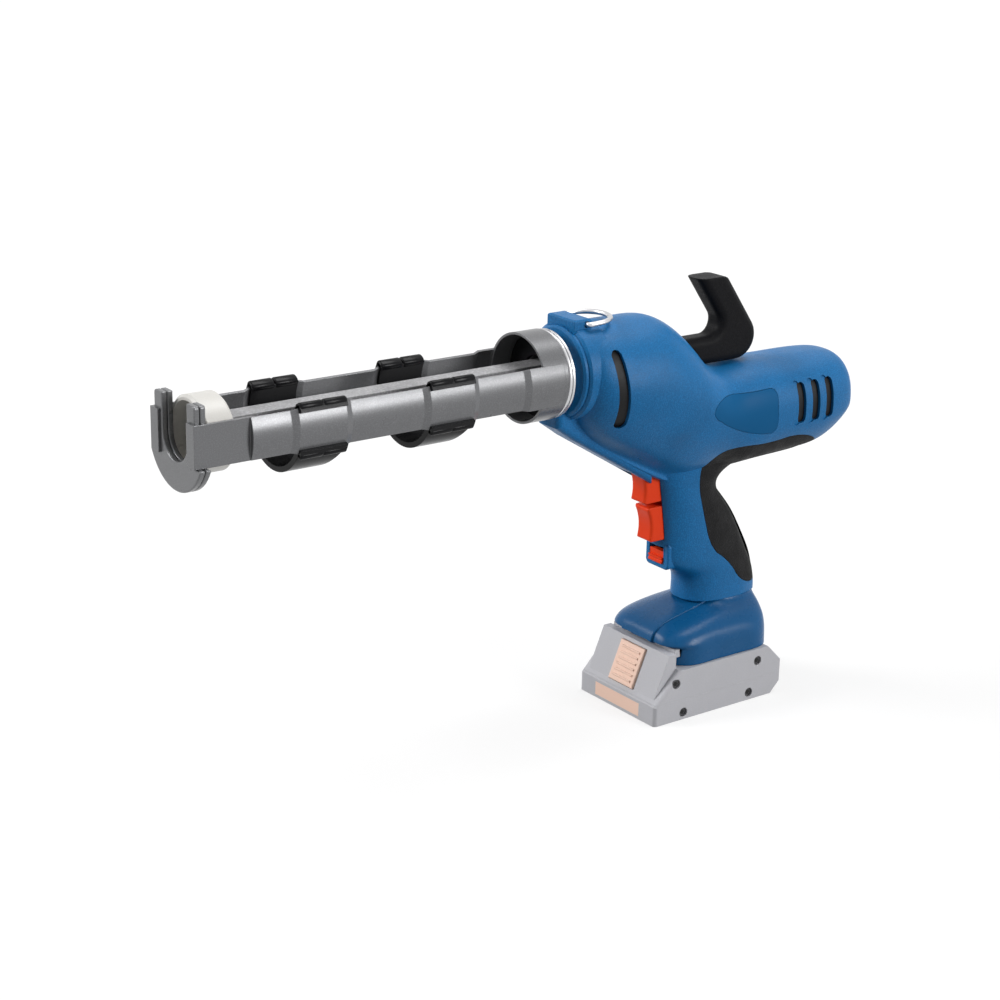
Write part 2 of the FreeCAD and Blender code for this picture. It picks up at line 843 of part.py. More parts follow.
def opening_tools(middle):
    """What is cut from both halves: neck, rod way, triggers, lock, vents, dial and insert."""
    neck_back = s.hump_front - s.lug_length - s.neck_root
    rod_side = s.rod_width / 2 + s.running_gap
    rod_up = s.rod_height / 2 + s.running_gap
    stem_gap = s.running_gap * 2
    stem = Part.makeBox(s.overrun, s.handle_half_width + stem_gap,
                        s.handle_stem_top + s.handle_stem_bottom + stem_gap * 2,
                        Vector(s.rod_rear + s.running_gap - s.overrun, 0,
                               axis - s.handle_stem_bottom - stem_gap))
    wheel_room = bevel_wheel_radius + s.bevel_module + s.running_gap
    trigger_side = s.trigger_half_width + s.running_gap
    lock_side = s.lock_half_width + s.running_gap
    tools = [
        Part.makeCylinder(s.neck_radius + s.fit_gap, s.overrun * 2, Vector(neck_back, 0, axis), FORWARD),
        Part.makeBox(s.overrun * 2, rod_side, rod_up * 2, Vector(s.rod_rear - s.overrun, 0, axis - rod_up)),
        rounded(stem, s.handle_edge_round, lambda edge: edge.BoundBox.YMin > s.handle_half_width
                and edge.BoundBox.XLength > s.overrun / 2),
        Part.makeCylinder(wheel_room, bevel_wheel_radius, Vector(s.drive_x, 0, motor_z), LEFT),
        Part.makeBox(s.overrun, trigger_side, s.release_top - s.switch_bottom + s.running_gap * 2,
                     Vector(s.switch_front - s.trigger_depth - s.switch_travel, 0,
                            s.switch_bottom - s.running_gap)),
        Part.makeBox(s.overrun, lock_side, s.lock_height + s.lock_travel + s.running_gap * 2,
                     Vector(s.lock_front - s.lock_thickness - s.running_gap, 0,
                            s.lock_bottom - s.running_gap)),
        Part.makeCylinder(s.dial_stem_radius + s.running_gap, s.overrun,
                          Vector(s.tail_end + s.dial_stem_length + s.running_gap, 0, motor_z),
                          BACKWARD),
        Part.makeCylinder(s.ring_wire + s.running_gap, s.overrun, Vector(ring_x, 0, ring_z), LEFT),
        overmould_area(0).cut(middle),
    ]
    tools += vent_slots(0)
    tools += [scallop.cut(label_depth) for scallop in vent_scallops()]
    tools += [slot.common(middle) for slot in vent_slots(s.baffle_margin)]
    tools += [Part.makeCylinder(s.body_screw_radius + s.fit_gap, s.body_screw_depth, Vector(x, 0, z),
                                LEFT) for x, z in screw_places]
    return tools


outer_half = half_body(0)
inner_half = half_body(s.wall)
middle_half = half_body(s.skin)
label_depth = half_body(s.label_thickness)
plain_half = moulded_half(outer_half, inner_half, middle_half)


def make_body():
    left = plain_half.cut(label_area(0).cut(label_depth))
    node(feature("housing_left", left), "housing_left")
    right = mirrored(plain_half)
    for x, z in screw_places:
        right = right.cut(Part.makeCylinder(s.body_screw_head + s.running_gap, s.overrun,
                                            Vector(x, -s.body_screw_seat, z), RIGHT))
    node(feature("housing_right", right), "housing_right")
    label = outer_half.cut(label_depth).common(label_area(s.insert_gap))
    node(feature("label_plate", label), "label_plate")
    rubber = outer_half.cut(middle_half).common(overmould_area(s.insert_gap))
    node(feature("grip_overmould", rubber.fuse(mirrored(rubber))), "grip_overmould")
    backing = half_body(s.skin + s.baffle_thickness)
    strips = []
    for slot in vent_slots(s.baffle_margin - s.insert_gap):
        strip = slot.common(middle_half).cut(backing)
        strips += [strip, mirrored(strip)]
    node(feature("vent_baffles", Part.makeCompound(strips)), "vent_baffles")
    screws = []
    for x, z in screw_places:
        shank = Part.makeCylinder(s.body_screw_radius, s.body_screw_seat + s.body_screw_depth,
                                  Vector(x, -s.body_screw_seat, z), LEFT)
        head = Part.makeCylinder(s.body_screw_head, s.body_screw_head_length,
                                 Vector(x, -s.body_screw_seat, z), RIGHT)
        screws.append(shank.fuse(head))
    node(feature("housing_screws", Part.makeCompound(screws)), "housing_screws")


make_body()


# Neck: the sleeve that the holder turns on, its front plate and the bright ring

neck_front = collar_rear + s.sheet + s.running_gap
neck_back = s.hump_front - s.lug_length - s.neck_root
sleeve = cut("neck_sleeve",
             cylinder("neck_tube", s.neck_radius, neck_front - neck_back, neck_back, 0, axis, "X"),
             cylinder("neck_way", s.neck_bore, s.overrun * 2, neck_back - s.overrun, 0, axis, "X"),
             cylinder("guide_seat", s.guide_radius + s.fit_gap, s.guide_length, neck_back, 0, axis, "X"))
node(sleeve, "neck_sleeve")
node(cut("neck_front_plate",
         cylinder("front_disc", s.neck_plate_radius, s.neck_plate_thickness, neck_front, 0, axis, "X"),
         cylinder("front_way", s.neck_bore, s.overrun * 2, neck_front - s.overrun, 0, axis, "X")),
     "neck_front_plate")
retaining_back = collar_rear - s.running_gap - s.retaining_length
node(revolved("retaining_ring", (
    (0, s.neck_radius + s.fit_gap),
    (s.retaining_length, s.neck_radius + s.fit_gap),
    (s.retaining_length, s.retaining_radius - s.lip_round),
    (s.retaining_length - s.lip_round, s.retaining_radius),
    (s.retaining_length / 2, s.retaining_radius),
    (s.retaining_length / 2, s.retaining_radius - s.retaining_groove),
    (s.retaining_length / 2 - s.retaining_groove, s.retaining_radius - s.retaining_groove),
    (s.retaining_length / 2 - s.retaining_groove, s.retaining_radius),
    (0, s.retaining_radius)), retaining_back, 0, axis), "retaining_ring")


def rod_guide(name, start):
    ring = cylinder(f"{name}_ring", s.guide_radius, s.guide_length, start, 0, axis, "X")
    side = s.rod_width + 2 * s.running_gap
    tall = s.rod_height + 2 * s.running_gap
    way = block(f"{name}_way", s.overrun * 2, side, tall, start - s.overrun, 0, axis - tall / 2)
    return cut(name, ring, way)


node(rod_guide("front_guide", neck_back), "front_guide")
body_room = feature("body_room", inner_half.fuse(mirrored(inner_half)))
node(common("rear_guide", rod_guide("rear_ring", s.rod_rear + s.running_gap * 2), body_room), "rear_guide")


# Turning cartridge holder

node(revolved("collar_ring", (
    (0, s.neck_radius + s.running_gap),
    (s.sheet, s.neck_radius + s.running_gap),
    (s.sheet, s.collar_radius - s.sheet),
    (s.collar_length + s.collar_lead, s.collar_radius - s.sheet),
    (s.collar_length + s.collar_lead, s.collar_radius),
    (0, s.collar_radius)), collar_rear, 0, axis), "collar_ring")

curved_end = s.holder_reach - s.flat_length


def rail_stations():
    """Inner-face stations of a rail along the holder: plain stretches between raised lands."""
    raised = s.collar_radius
    plain = s.rail_radius
    land_end = s.collar_land
    stations = [(-s.weld_lap, raised), (land_end, raised), (land_end + s.rail_step_length, plain)]
    for centre in (s.rear_saddle_centre, s.front_saddle_centre):
        near = centre - s.saddle_length / 2 - s.saddle_gap
        far = centre + s.saddle_length / 2 + s.saddle_gap
        stations += [(near - s.rail_step_length, plain), (near, raised), (far, raised),
                     (far + s.rail_step_length, plain)]
    return stations + [(curved_end, plain)]


def rail(name, side):
    stations = rail_stations()
    outline = stations + [(along, radius + s.sheet) for along, radius in reversed(stations)]
    turn = Rotation(FORWARD, 90 - 90 * side)
    strip = revolved(f"{name}_strip", outline, s.collar_front, 0, axis, rail_angle, turn)
    flat = slab_block(f"{name}_flat", side, curved_end, s.flat_length)
    tab = block(f"{name}_tab", s.sheet, s.tab_reach, 2 * s.rail_half_height,
                holder_front - s.sheet, side * (s.flat_half_width + s.sheet - s.tab_reach / 2),
                axis - s.rail_half_height)
    web = feature(f"{name}_web", rail_web(side))
    node(fuse(name, strip, flat, tab, web), name)


def slab_block(name, side, start, length):
    return block(name, length, s.sheet, 2 * s.rail_half_height, s.collar_front + start,
                 side * (s.flat_half_width + s.sheet / 2), axis - s.rail_half_height)


def rail_web(side):
    """The drawn step that closes the curved strip's end down to the flat."""
    half_turn = math.radians(rail_angle / 2)
    inner = s.flat_half_width
    outer = s.rail_radius + s.sheet
    arc = Part.Arc(*[Vector(s.collar_front + curved_end - s.sheet, side * outer * math.cos(turn),
                            axis + outer * math.sin(turn)) for turn in (-half_turn, 0, half_turn)])
    ends = (arc.EndPoint, arc.StartPoint)
    low = [Vector(end.x, side * inner, end.z) for end in ends]
    wire = Part.Wire([arc.toShape(), Part.makePolygon([ends[0], *low, ends[1]])])
    return Part.Face(wire).extrude(Vector(s.sheet, 0, 0))


rail("rail_left", 1)
rail("rail_right", -1)


def nozzle_plate(name, back):
    """A disc with a slot open to the top, narrowed where it stands between the rails."""
    disc = cylinder(f"{name}_disc", s.plate_radius, s.plate_thickness, back, 0, axis, "X")
    room = s.flat_half_width - s.running_gap
    side_room = s.rail_half_height + s.running_gap
    above = block(f"{name}_above", s.overrun, 4 * s.plate_radius, s.overrun, back - s.overrun / 2, 0,
                  axis + s.plate_arm_top)
    slot = cylinder(f"{name}_slot", s.nozzle_slot_radius, s.overrun, back - s.overrun / 2, 0, axis, "X")
    mouth = block(f"{name}_mouth", s.overrun, 2 * s.nozzle_slot_radius, s.overrun,
                  back - s.overrun / 2, 0, axis)
    tools = [above, slot, mouth]
    for side in (-1, 1):
        tools.append(block(f"{name}_side", s.overrun, s.overrun, s.overrun + side_room,
                           back - s.overrun / 2, side * (room + s.overrun / 2), axis - side_room))
    node(cut(name, disc, *tools), name)


plate_back = holder_front - s.sheet - s.plate_thickness
nozzle_plate("front_plate", plate_back)
nozzle_plate("backing_plate", plate_back - s.plate_seam - s.plate_thickness)


def saddle(name, centre):
    """A plastic liner that lines both rails, bridges under them and hooks over their edges."""
    start = s.collar_front + centre - s.saddle_length / 2
    inner = s.rail_radius
    outer = s.collar_radius - s.saddle_gap
    half_turn = rail_angle / 2
    lip_turn = half_turn + s.saddle_lip_turn
    liner = ring_sector(start, s.saddle_length, inner, outer, -180 - lip_turn, lip_turn)
    lip_outer = s.collar_radius + s.sheet + s.saddle_gap + s.saddle_wall
    gap_turn = math.degrees(s.saddle_gap / s.rail_radius)
    pieces = []
    for low, high in ((half_turn + gap_turn, lip_turn),
                      (180 - lip_turn, 180 - half_turn - gap_turn),
                      (-180 + half_turn + gap_turn, -half_turn - gap_turn)):
        pieces.append(ring_sector(start, s.saddle_length, inner, s.collar_radius + s.sheet, low, high))
    hook_turn = math.degrees(s.saddle_lip / lip_outer)
    for low, high in ((half_turn - hook_turn, lip_turn), (180 - lip_turn, 180 - half_turn + hook_turn),
                      (-half_turn - s.saddle_lip_turn, -half_turn + hook_turn),
                      (180 + half_turn - hook_turn, 180 + half_turn + s.saddle_lip_turn)):
        pieces.append(ring_sector(start, s.saddle_length, s.collar_radius + s.sheet + s.saddle_gap,
                                  lip_outer, low, high))
    pieces += [ring_sector(start, s.saddle_length, inner, lip_outer, low, high) for low, high in (
        (half_turn + gap_turn, lip_turn), (180 - lip_turn, 180 - half_turn - gap_turn),
        (-half_turn - s.saddle_lip_turn, -half_turn - gap_turn),
        (180 + half_turn + gap_turn, 180 + half_turn + s.saddle_lip_turn))]
    slant_top = axis - s.rail_half_height - s.saddle_lip
    slant = slab(((start, slant_top), (start, slant_top - s.saddle_slant * 2),
                  (start + s.saddle_slant, slant_top - s.saddle_slant * 2)), -s.overrun, s.overrun)
    node(feature(name, liner.fuse(pieces).cut(slant).removeSplitter()), name)


def ring_sector(start, length, inner, outer, low, high):
    """Part of a tube about the barrel axis, from a low to a high angle above the left side."""
    corners = [Vector(start, inner, axis), Vector(start + length, inner, axis),
               Vector(start + length, outer, axis), Vector(start, outer, axis)]
    face = Part.Face(Part.makePolygon(corners + corners[:1]))
    face.rotate(Vector(0, 0, axis), FORWARD, low)
    return face.revolve(Vector(0, 0, axis), FORWARD, high - low)


saddle("saddle_front", s.front_saddle_centre)
saddle("saddle_rear", s.rear_saddle_centre)


# Push rod: a toothed bar with its piston and its pull handle

piston_back = s.collar_front + s.piston_front - s.piston_length
rack_pitch = math.pi * s.rack_module
rack_dedendum = s.rack_module * s.dedendum_share


def rack_bar():
    """The bar's side outline, toothed below where it can pass the pinion."""
    slope = math.tan(math.radians(s.pressure_angle))
    bottom = axis - s.rod_height / 2
    root = bottom + rack_addendum + rack_dedendum
    tip_half = rack_pitch / 4 - s.tooth_backlash / 2 - rack_addendum * slope
    root_half = rack_pitch / 4 - s.tooth_backlash / 2 + rack_dedendum * slope
    spare = int(s.rack_spare_teeth)
    last = int(s.rod_travel / rack_pitch) + spare
    outline = [(s.rod_rear, bottom)]
    for tooth in range(-spare, last + 1):
        centre = s.drive_x + rack_pitch * (tooth + 1 / 2)
        outline += [(centre - root_half, root), (centre - tip_half, bottom),
                    (centre + tip_half, bottom), (centre + root_half, root)]
    outline = [outline[0], (outline[1][0], bottom)] + outline[1:] + [(outline[-1][0], bottom)]
    outline += [(piston_back, bottom), (piston_back, bottom + s.rod_height),
                (s.rod_rear, bottom + s.rod_height)]
    return slab(outline, -s.rod_width / 2, s.rod_width / 2)


def make_rod():
    bar = feature("rod_bar", rack_bar())
    tang = block("rod_tang", s.tang_length, s.tang_width, s.tang_width, s.rod_rear - s.tang_length, 0,
                 axis - s.tang_width / 2)
    pin_x = s.rod_rear - s.tang_length / 2
    pin_hole = cylinder("tang_hole", s.handle_pin_radius, s.overrun, pin_x, -s.overrun / 2, axis, "Y")
    thread = cylinder("screw_hole", s.screw_radius, s.screw_depth, piston_back - s.screw_depth, 0, axis,
                      "X")
    node(cut("piston_rod", fuse("piston_rod", bar, tang), pin_hole, thread), "piston_rod")
    node(revolved("piston", (
        (0, s.screw_radius + s.fit_gap),
        (s.piston_wall, s.screw_radius + s.fit_gap),
        (s.piston_wall, s.piston_radius - s.piston_skirt),
        (s.piston_length, s.piston_radius - s.piston_skirt),
        (s.piston_length, s.piston_radius - s.piston_round),
        (s.piston_length - s.piston_round, s.piston_radius),
        (s.piston_round, s.piston_radius),
        (0, s.piston_radius - s.piston_round)), piston_back, 0, axis), "piston")
    node(fuse("piston_screw",
              cylinder("screw_shank", s.screw_radius - s.fit_gap, s.screw_depth + s.piston_wall,
                       piston_back - s.screw_depth, 0, axis, "X"),
              cylinder("screw_head", s.screw_head_radius, s.screw_head_length,
                       piston_back + s.piston_wall, 0, axis, "X")), "piston_screw")
    node(feature("rod_handle", handle_shape(pin_x)), "rod_handle")
    node(cylinder("handle_pin", s.handle_pin_radius - s.fit_gap, 2 * s.handle_half_width - s.tang_width / 2,
                  pin_x, s.tang_width / 4 - s.handle_half_width, axis, "Y"), "handle_pin")


def handle_shape(pin_x):
    """A flat hook whose arm leans forward from its stem, round at the edges and level at the top."""
    lean = math.radians(s.handle_lean)
    across = s.handle_thickness / math.cos(lean)
    top = axis + s.handle_top
    stem_top = axis + s.handle_stem_top
    stem_bottom = axis - s.handle_stem_bottom
    high = top + s.handle_thickness
    inner = [(s.handle_tip + (z - top) * math.tan(lean), z) for z in (stem_top, high)]
    outer = [(s.handle_tip - across + (z - top) * math.tan(lean), z) for z in (high, stem_bottom)]
    outline = [(s.rod_rear, stem_bottom), (s.rod_rear, stem_top)] + inner + outer
    hook = slab(outline, -s.handle_half_width, s.handle_half_width)
    hook = rounded(hook, s.handle_inner_bend, lambda edge: crosses_at(edge, *inner[0]))
    hook = rounded(hook, s.handle_outer_bend, lambda edge: crosses_at(edge, *outer[-1]))
    hook = rounded(hook, s.handle_edge_round, lambda edge: edge.BoundBox.YLength < s.fit_gap
                   and edge.BoundBox.ZMax > stem_bottom - s.fit_gap
                   and edge.BoundBox.XMin < s.rod_rear - s.fit_gap
                   and edge.BoundBox.ZMin < high - s.fit_gap)
    level = Part.makeBox(s.overrun * 2, s.overrun, s.overrun,
                         Vector(s.handle_tip - s.overrun, -s.overrun / 2, top))
    socket = Part.makeBox(s.tang_length, s.tang_width, s.tang_width,
                          Vector(s.rod_rear - s.tang_length, -s.tang_width / 2, axis - s.tang_width / 2))
    hole = Part.makeCylinder(s.handle_pin_radius, s.overrun, Vector(pin_x, -s.overrun / 2, axis),
                             LEFT)
    return without(hook, (level, top_corner(lean, across, top), socket, hole))


def crosses_at(edge, x, z):
    """Whether an edge runs along Y through an XZ point."""
    middle = edge.CenterOfMass
    return edge.BoundBox.YLength > s.fit_gap and math.hypot(middle.x - x, middle.z - z) < s.fit_gap


def top_corner(lean, across, top):
    """What the rounding takes off between the hook's level top and its back."""
    radius = s.handle_top_round
    centre_x = s.handle_tip - across - radius * math.tan(lean) + radius / math.cos(lean)
    out = (centre_x - radius * math.cos(lean), top - radius + radius * math.sin(lean))
    far = (out[0] - radius * math.cos(lean), out[1] + radius * math.sin(lean))
    block_off = slab(((centre_x, top), (centre_x, top + radius), far, out), -s.overrun / 2, s.overrun / 2)
    return block_off.cut(Part.makeCylinder(radius, s.overrun, Vector(centre_x, -s.overrun / 2, top - radius),
                                           LEFT))


make_rod()


# Final drive: pinion, spur pair and bevel pair in a frame

def tooth_half_width(height, radius, teeth):
    """Half the thickness of an involute tooth at a height above its pitch circle."""
    pressure = math.radians(s.pressure_angle)
    at = radius + height
    ratio = min(radius * math.cos(pressure) / at, 1)
    local = math.acos(ratio)
    turn = math.pi / (2 * teeth) + math.tan(pressure) - pressure - math.tan(local) + local
    return at * turn - s.tooth_backlash / 2


def gear_heights(module):
    return (-module * s.dedendum_share, 0, module * s.addendum_share)


def gear_ring(teeth, flank):
    """Corners round a gear from the (radius, half angle) points of one flank, root first."""
    corners = []
    for tooth in range(int(teeth)):
        middle = 2 * math.pi * tooth / teeth
        side = [(radius, middle - half) for radius, half in flank]
        side += [(radius, middle + half) for radius, half in reversed(flank)]
        corners += side
    return corners


def spur_gear(teeth, module, width, centre, turn):
    """A spur gear about Y with its first tooth turned from straight up."""
    radius = module * teeth / 2
    flank = [(radius + height, tooth_half_width(height, radius, teeth) / (radius + height))
             for height in gear_heights(module)]
    corners = [centre + Vector(math.sin(angle + turn) * reach, 0, math.cos(angle + turn) * reach)
               for reach, angle in gear_ring(teeth, flank)]
    return Part.Face(Part.makePolygon(corners + corners[:1])).extrude(Vector(0, width, 0))


def bevel_gear(teeth, mate_teeth, turn):
    """A bevel gear about +Z with its cone's apex at the origin, its first tooth along +X."""
    radius = s.bevel_module * teeth / 2
    cone = math.atan2(teeth, mate_teeth)
    distance = radius / math.sin(cone)
    wires = []
    for reach in (distance - s.bevel_face, distance):
        level = reach * math.cos(cone)
        flank = []
        for height in gear_heights(s.bevel_module):
            tilt = cone + height / distance
            half = tooth_half_width(height, radius / math.cos(cone), teeth / math.cos(cone))
            flank.append((level * math.tan(tilt), half / (distance * math.sin(tilt))))
        corners = [Vector(math.cos(angle + turn) * out, math.sin(angle + turn) * out, level)
                   for out, angle in gear_ring(teeth, flank)]
        wires.append(Part.makePolygon(corners + corners[:1]))
    ring = Part.makeLoft(wires, True, True)
    root = distance * math.cos(cone) * math.tan(cone - s.bevel_module * s.dedendum_share / distance)
    hub = Part.makeCylinder(root, s.bevel_back, Vector(0, 0, distance * math.cos(cone)), UP)
    return ring.fuse(hub).removeSplitter()


def make_drive():
    shaft_end = s.frame_half_width
    bore = cylinder_y_tool(pinion_z)
    pinion = spur_gear(s.pinion_teeth, s.rack_module, s.pinion_width,
                       Vector(s.drive_x, -s.pinion_width / 2, pinion_z), 0)
    shaft = Part.makeCylinder(s.shaft_radius, 2 * shaft_end, Vector(s.drive_x, -shaft_end, pinion_z), LEFT)
    node(feature("drive_pinion", pinion.fuse(shaft).removeSplitter()), "drive_pinion")
    half_tooth = math.pi / s.final_gear_teeth
    final = spur_gear(s.final_gear_teeth, s.final_module, s.final_width,
                      Vector(s.drive_x, s.final_side, pinion_z), math.pi + half_tooth)
    node(feature("final_gear", final.cut(bore)), "final_gear")
    bore = cylinder_y_tool(motor_z)
    lay = spur_gear(s.lay_gear_teeth, s.final_module, s.final_width,
                    Vector(s.drive_x, s.final_side, motor_z), 0)
    node(feature("lay_gear", lay.cut(bore)), "lay_gear")
    layshaft = Part.makeCylinder(s.shaft_radius, 2 * shaft_end, Vector(s.drive_x, -shaft_end, motor_z), LEFT)
    node(feature("layshaft", layshaft), "layshaft")
    apex = Vector(s.drive_x, 0, motor_z)
    wheel = bevel_gear(s.bevel_wheel_teeth, s.bevel_pinion_teeth, math.pi / s.bevel_wheel_teeth)
    wheel.Placement = Placement(apex, Rotation(BACKWARD, UP, RIGHT, "ZXY"))
    node(feature("bevel_wheel", wheel.cut(bore)), "bevel_wheel")
    driver = bevel_gear(s.bevel_pinion_teeth, s.bevel_wheel_teeth, 0)
    driver.Placement = Placement(apex, Rotation(RIGHT, DOWN, BACKWARD, "ZXY"))
    stub = Part.makeCylinder(s.shaft_radius, s.bevel_back + s.frame_back + s.running_gap,
                             Vector(s.drive_x - bevel_wheel_radius, 0, motor_z), BACKWARD)
    node(feature("bevel_pinion", driver.fuse(stub).removeSplitter()), "bevel_pinion")
    back, front, bottom, top = frame_extent()
    sides = []
    for side in (-1, 1):
        sides.append(block("frame_side", front - back, s.frame_wall, top - bottom, back,
                           side * (s.frame_half_width - s.frame_wall / 2), bottom))
    rear = block("frame_rear", s.frame_back - s.running_gap, 2 * s.frame_half_width,
                 pinion_z - s.bush_radius - s.running_gap - bottom, back, 0, bottom)
    seats = [cylinder("bush_seat", s.bush_radius, s.overrun * 2, s.drive_x, -s.overrun, z, "Y")
             for z in (pinion_z, motor_z)]
    drive_way = cylinder("drive_way", s.shaft_radius + s.running_gap, s.overrun, back - s.overrun / 2, 0,
                         motor_z, "X")
    node(cut("gear_frame", fuse("gear_frame", rear, *sides), *seats, drive_way), "gear_frame")
    bushes = []
    for z in (pinion_z, motor_z):
        for start in (-s.frame_half_width, s.frame_half_width - s.frame_wall):
            ring = Part.makeCylinder(s.bush_radius - s.fit_gap, s.frame_wall, Vector(s.drive_x, start, z),
                                     LEFT)
            bushes.append(ring.cut(Part.makeCylinder(s.shaft_radius + s.fit_gap, s.frame_wall,
                                                     Vector(s.drive_x, start, z), LEFT)))
    node(feature("shaft_bushes", Part.makeCompound(bushes)), "shaft_bushes")


def cylinder_y_tool(z):
    return Part.makeCylinder(s.shaft_radius, s.overrun * 2, Vector(s.drive_x, -s.overrun, z), LEFT)


make_drive()


# Motor line

node(cylinder("gearbox", s.gearbox_radius, s.gearbox_length, motor_front, 0, motor_z, "X"), "gearbox")
node(cylinder("motor", s.motor_radius, s.motor_length, motor_rear, 0, motor_z, "X"), "motor")
node(cylinder("motor_end", s.motor_end_radius, s.motor_end_length, motor_rear - s.motor_end_length, 0,
              motor_z, "X"), "motor_end")


# Triggers, switch and lock

def trigger(front, top, bottom):
    """A finger lever with a hollowed front, sloped ends and rounded edges."""
    back = front - s.trigger_depth
    middle = (top + bottom) / 2
    half = (top - bottom) / 2
    slope = s.trigger_slope * (s.trigger_depth / (top - bottom)) / 2
    hollow = Vector(front - s.trigger_hollow_depth - slope / 2, 0, middle)
    profile = Part.Wire([
        Part.Arc(Vector(front, 0, top), hollow, Vector(front - slope, 0, bottom)).toShape(),
        Part.makePolygon([Vector(front - slope, 0, bottom), Vector(back, 0, bottom),
                          Vector(back, 0, top), Vector(front, 0, top)])])
    solid = Part.Face(profile).extrude(Vector(0, 2 * s.trigger_half_width, 0))
    solid.translate(Vector(0, -s.trigger_half_width, 0))
    edge_limit = back + half
    return rounded(solid, s.trigger_round, lambda edge: edge.BoundBox.XMin > edge_limit)


def make_controls():
    release = trigger(s.release_front, s.release_top, s.release_bottom)
    node(feature("release_trigger", release), "release_trigger")
    lower = trigger(s.switch_front, s.switch_top, s.switch_bottom)
    node(feature("switch_trigger", lower), "switch_trigger")
    node(block("switch_module", s.module_length, 2 * s.module_half_width, s.module_height, module_x, 0,
               module_z), "switch_module")
    base = block("lock_base", s.lock_thickness, 2 * s.lock_half_width, s.lock_height,
                 s.lock_front - s.lock_thickness, 0, s.lock_bottom)
    thumb = block("lock_thumb_pad", s.lock_thumb + s.lock_thickness, 2 * s.lock_half_width,
                  s.lock_height / 2, s.lock_front - s.lock_thickness, 0, s.lock_bottom)
    groove = cylinder("lock_groove", s.lock_thumb / 2, s.overrun, s.lock_front + s.lock_thumb,
                      -s.overrun / 2, s.lock_bottom + s.lock_height / 4, "Y")
    node(cut("lock_slider", fuse("lock_slider", base, thumb), groove), "lock_slider")
    cap_front = s.tail_end - s.running_gap
    stem = cylinder("dial_stem", s.dial_stem_radius, s.dial_stem_length + s.running_gap, cap_front, 0,
                    motor_z, "X")
    cap = Part.makeCylinder(s.dial_radius, s.dial_length, Vector(cap_front, 0, motor_z), BACKWARD)
    cap = rounded(cap, s.lip_round, lambda edge: edge.BoundBox.XMax < s.tail_end - s.dial_length / 2)
    grooves = []
    for index in range(int(s.dial_ribs)):
        turn = 2 * math.pi * index / s.dial_ribs
        rim = Vector(s.tail_end - s.dial_length * 2, s.dial_radius * math.cos(turn),
                     motor_z + s.dial_radius * math.sin(turn))
        grooves.append(Part.makeCylinder(s.dial_rib_radius, s.overrun, rim, FORWARD))
    node(fuse("speed_dial", feature("dial_cap", without(cap, grooves)), stem), "speed_dial")


make_controls()


# Strap lug on the neck, and its wire ring

def make_lug():
    solid = Part.makeBox(s.lug_length, 2 * s.lug_half_width, s.lug_top,
                         Vector(s.lug_front - s.lug_length, -s.lug_half_width, axis))
    solid = rounded(solid, s.lug_round, lambda edge: edge.BoundBox.ZMin > axis + s.lug_top / 2)
    neck = neck_half()
    under = Part.makeCylinder(s.lip_radius, s.overrun * 2, Vector(s.hump_front - s.overrun, 0, axis), FORWARD)
    pins = Part.makeCylinder(s.ring_wire + s.running_gap, s.overrun * 2, Vector(ring_x, -s.overrun, ring_z),
                             LEFT)
    between = s.lug_half_width - s.ring_pin_depth - s.running_gap
    middle = Part.makeBox(s.overrun, 2 * between, s.overrun, Vector(ring_x - s.overrun / 2, -between, axis))
    lug = without(solid, (under, neck, mirrored(neck), outer_half, mirrored(outer_half), pins.cut(middle)))
    node(feature("strap_lug", lug), "strap_lug")
    path = ring_path()
    circle = Part.Wire(Part.makeCircle(s.ring_wire, path.OrderedVertexes[0].Point, LEFT))
    wire = path.makePipeShell([circle], True, True)
    wire.Placement = Placement(Vector(ring_x, 0, ring_z), Rotation(LEFT, s.ring_tilt))
    node(feature("d_ring", wire), "d_ring")


def ring_path():
    """The middle line of the wire, from one pin round the bow to the other."""
    leg_y = s.lug_half_width + s.running_gap + s.ring_bend
    inner_y = s.lug_half_width - s.ring_pin_depth
    far = s.ring_leg + s.ring_bend
    corner = s.ring_bend * (1 - math.sqrt(1 / 2))
    edges = [Part.Arc(Vector(-far, leg_y, 0), Vector(-far - leg_y, 0, 0), Vector(-far, -leg_y, 0)).toShape()]
    for side in (1, -1):
        pin_end = Vector(0, side * (leg_y - s.ring_bend), 0)
        leg_start = Vector(-s.ring_bend, side * leg_y, 0)
        edges += [
            Part.LineSegment(Vector(0, side * inner_y, 0), pin_end).toShape(),
            Part.Arc(pin_end, Vector(-corner, side * (leg_y - corner), 0), leg_start).toShape(),
            Part.LineSegment(leg_start, Vector(-far, side * leg_y, 0)).toShape(),
        ]
    return Part.Wire(Part.__sortEdges__(edges))


make_lug()


# Battery foot with its rails and contacts

foot_bottom = pack_top + s.running_gap
tongue_top = pack_top + s.tongue_height
channel_half = s.foot_half_width - s.foot_wall
tongue_half = channel_half - s.running_gap
stalk_half = channel_half - s.rail_lip - s.running_gap
channel_top = tongue_top + s.running_gap
foot_channel_back = s.foot_back + s.foot_rear_wall
lip_top = foot_bottom + s.rail_lip_height
# Places of the contact blades across the foot as shares of their pitch
BLADE_SHARES = (-1.5, -0.5, 0.5, 1.5)


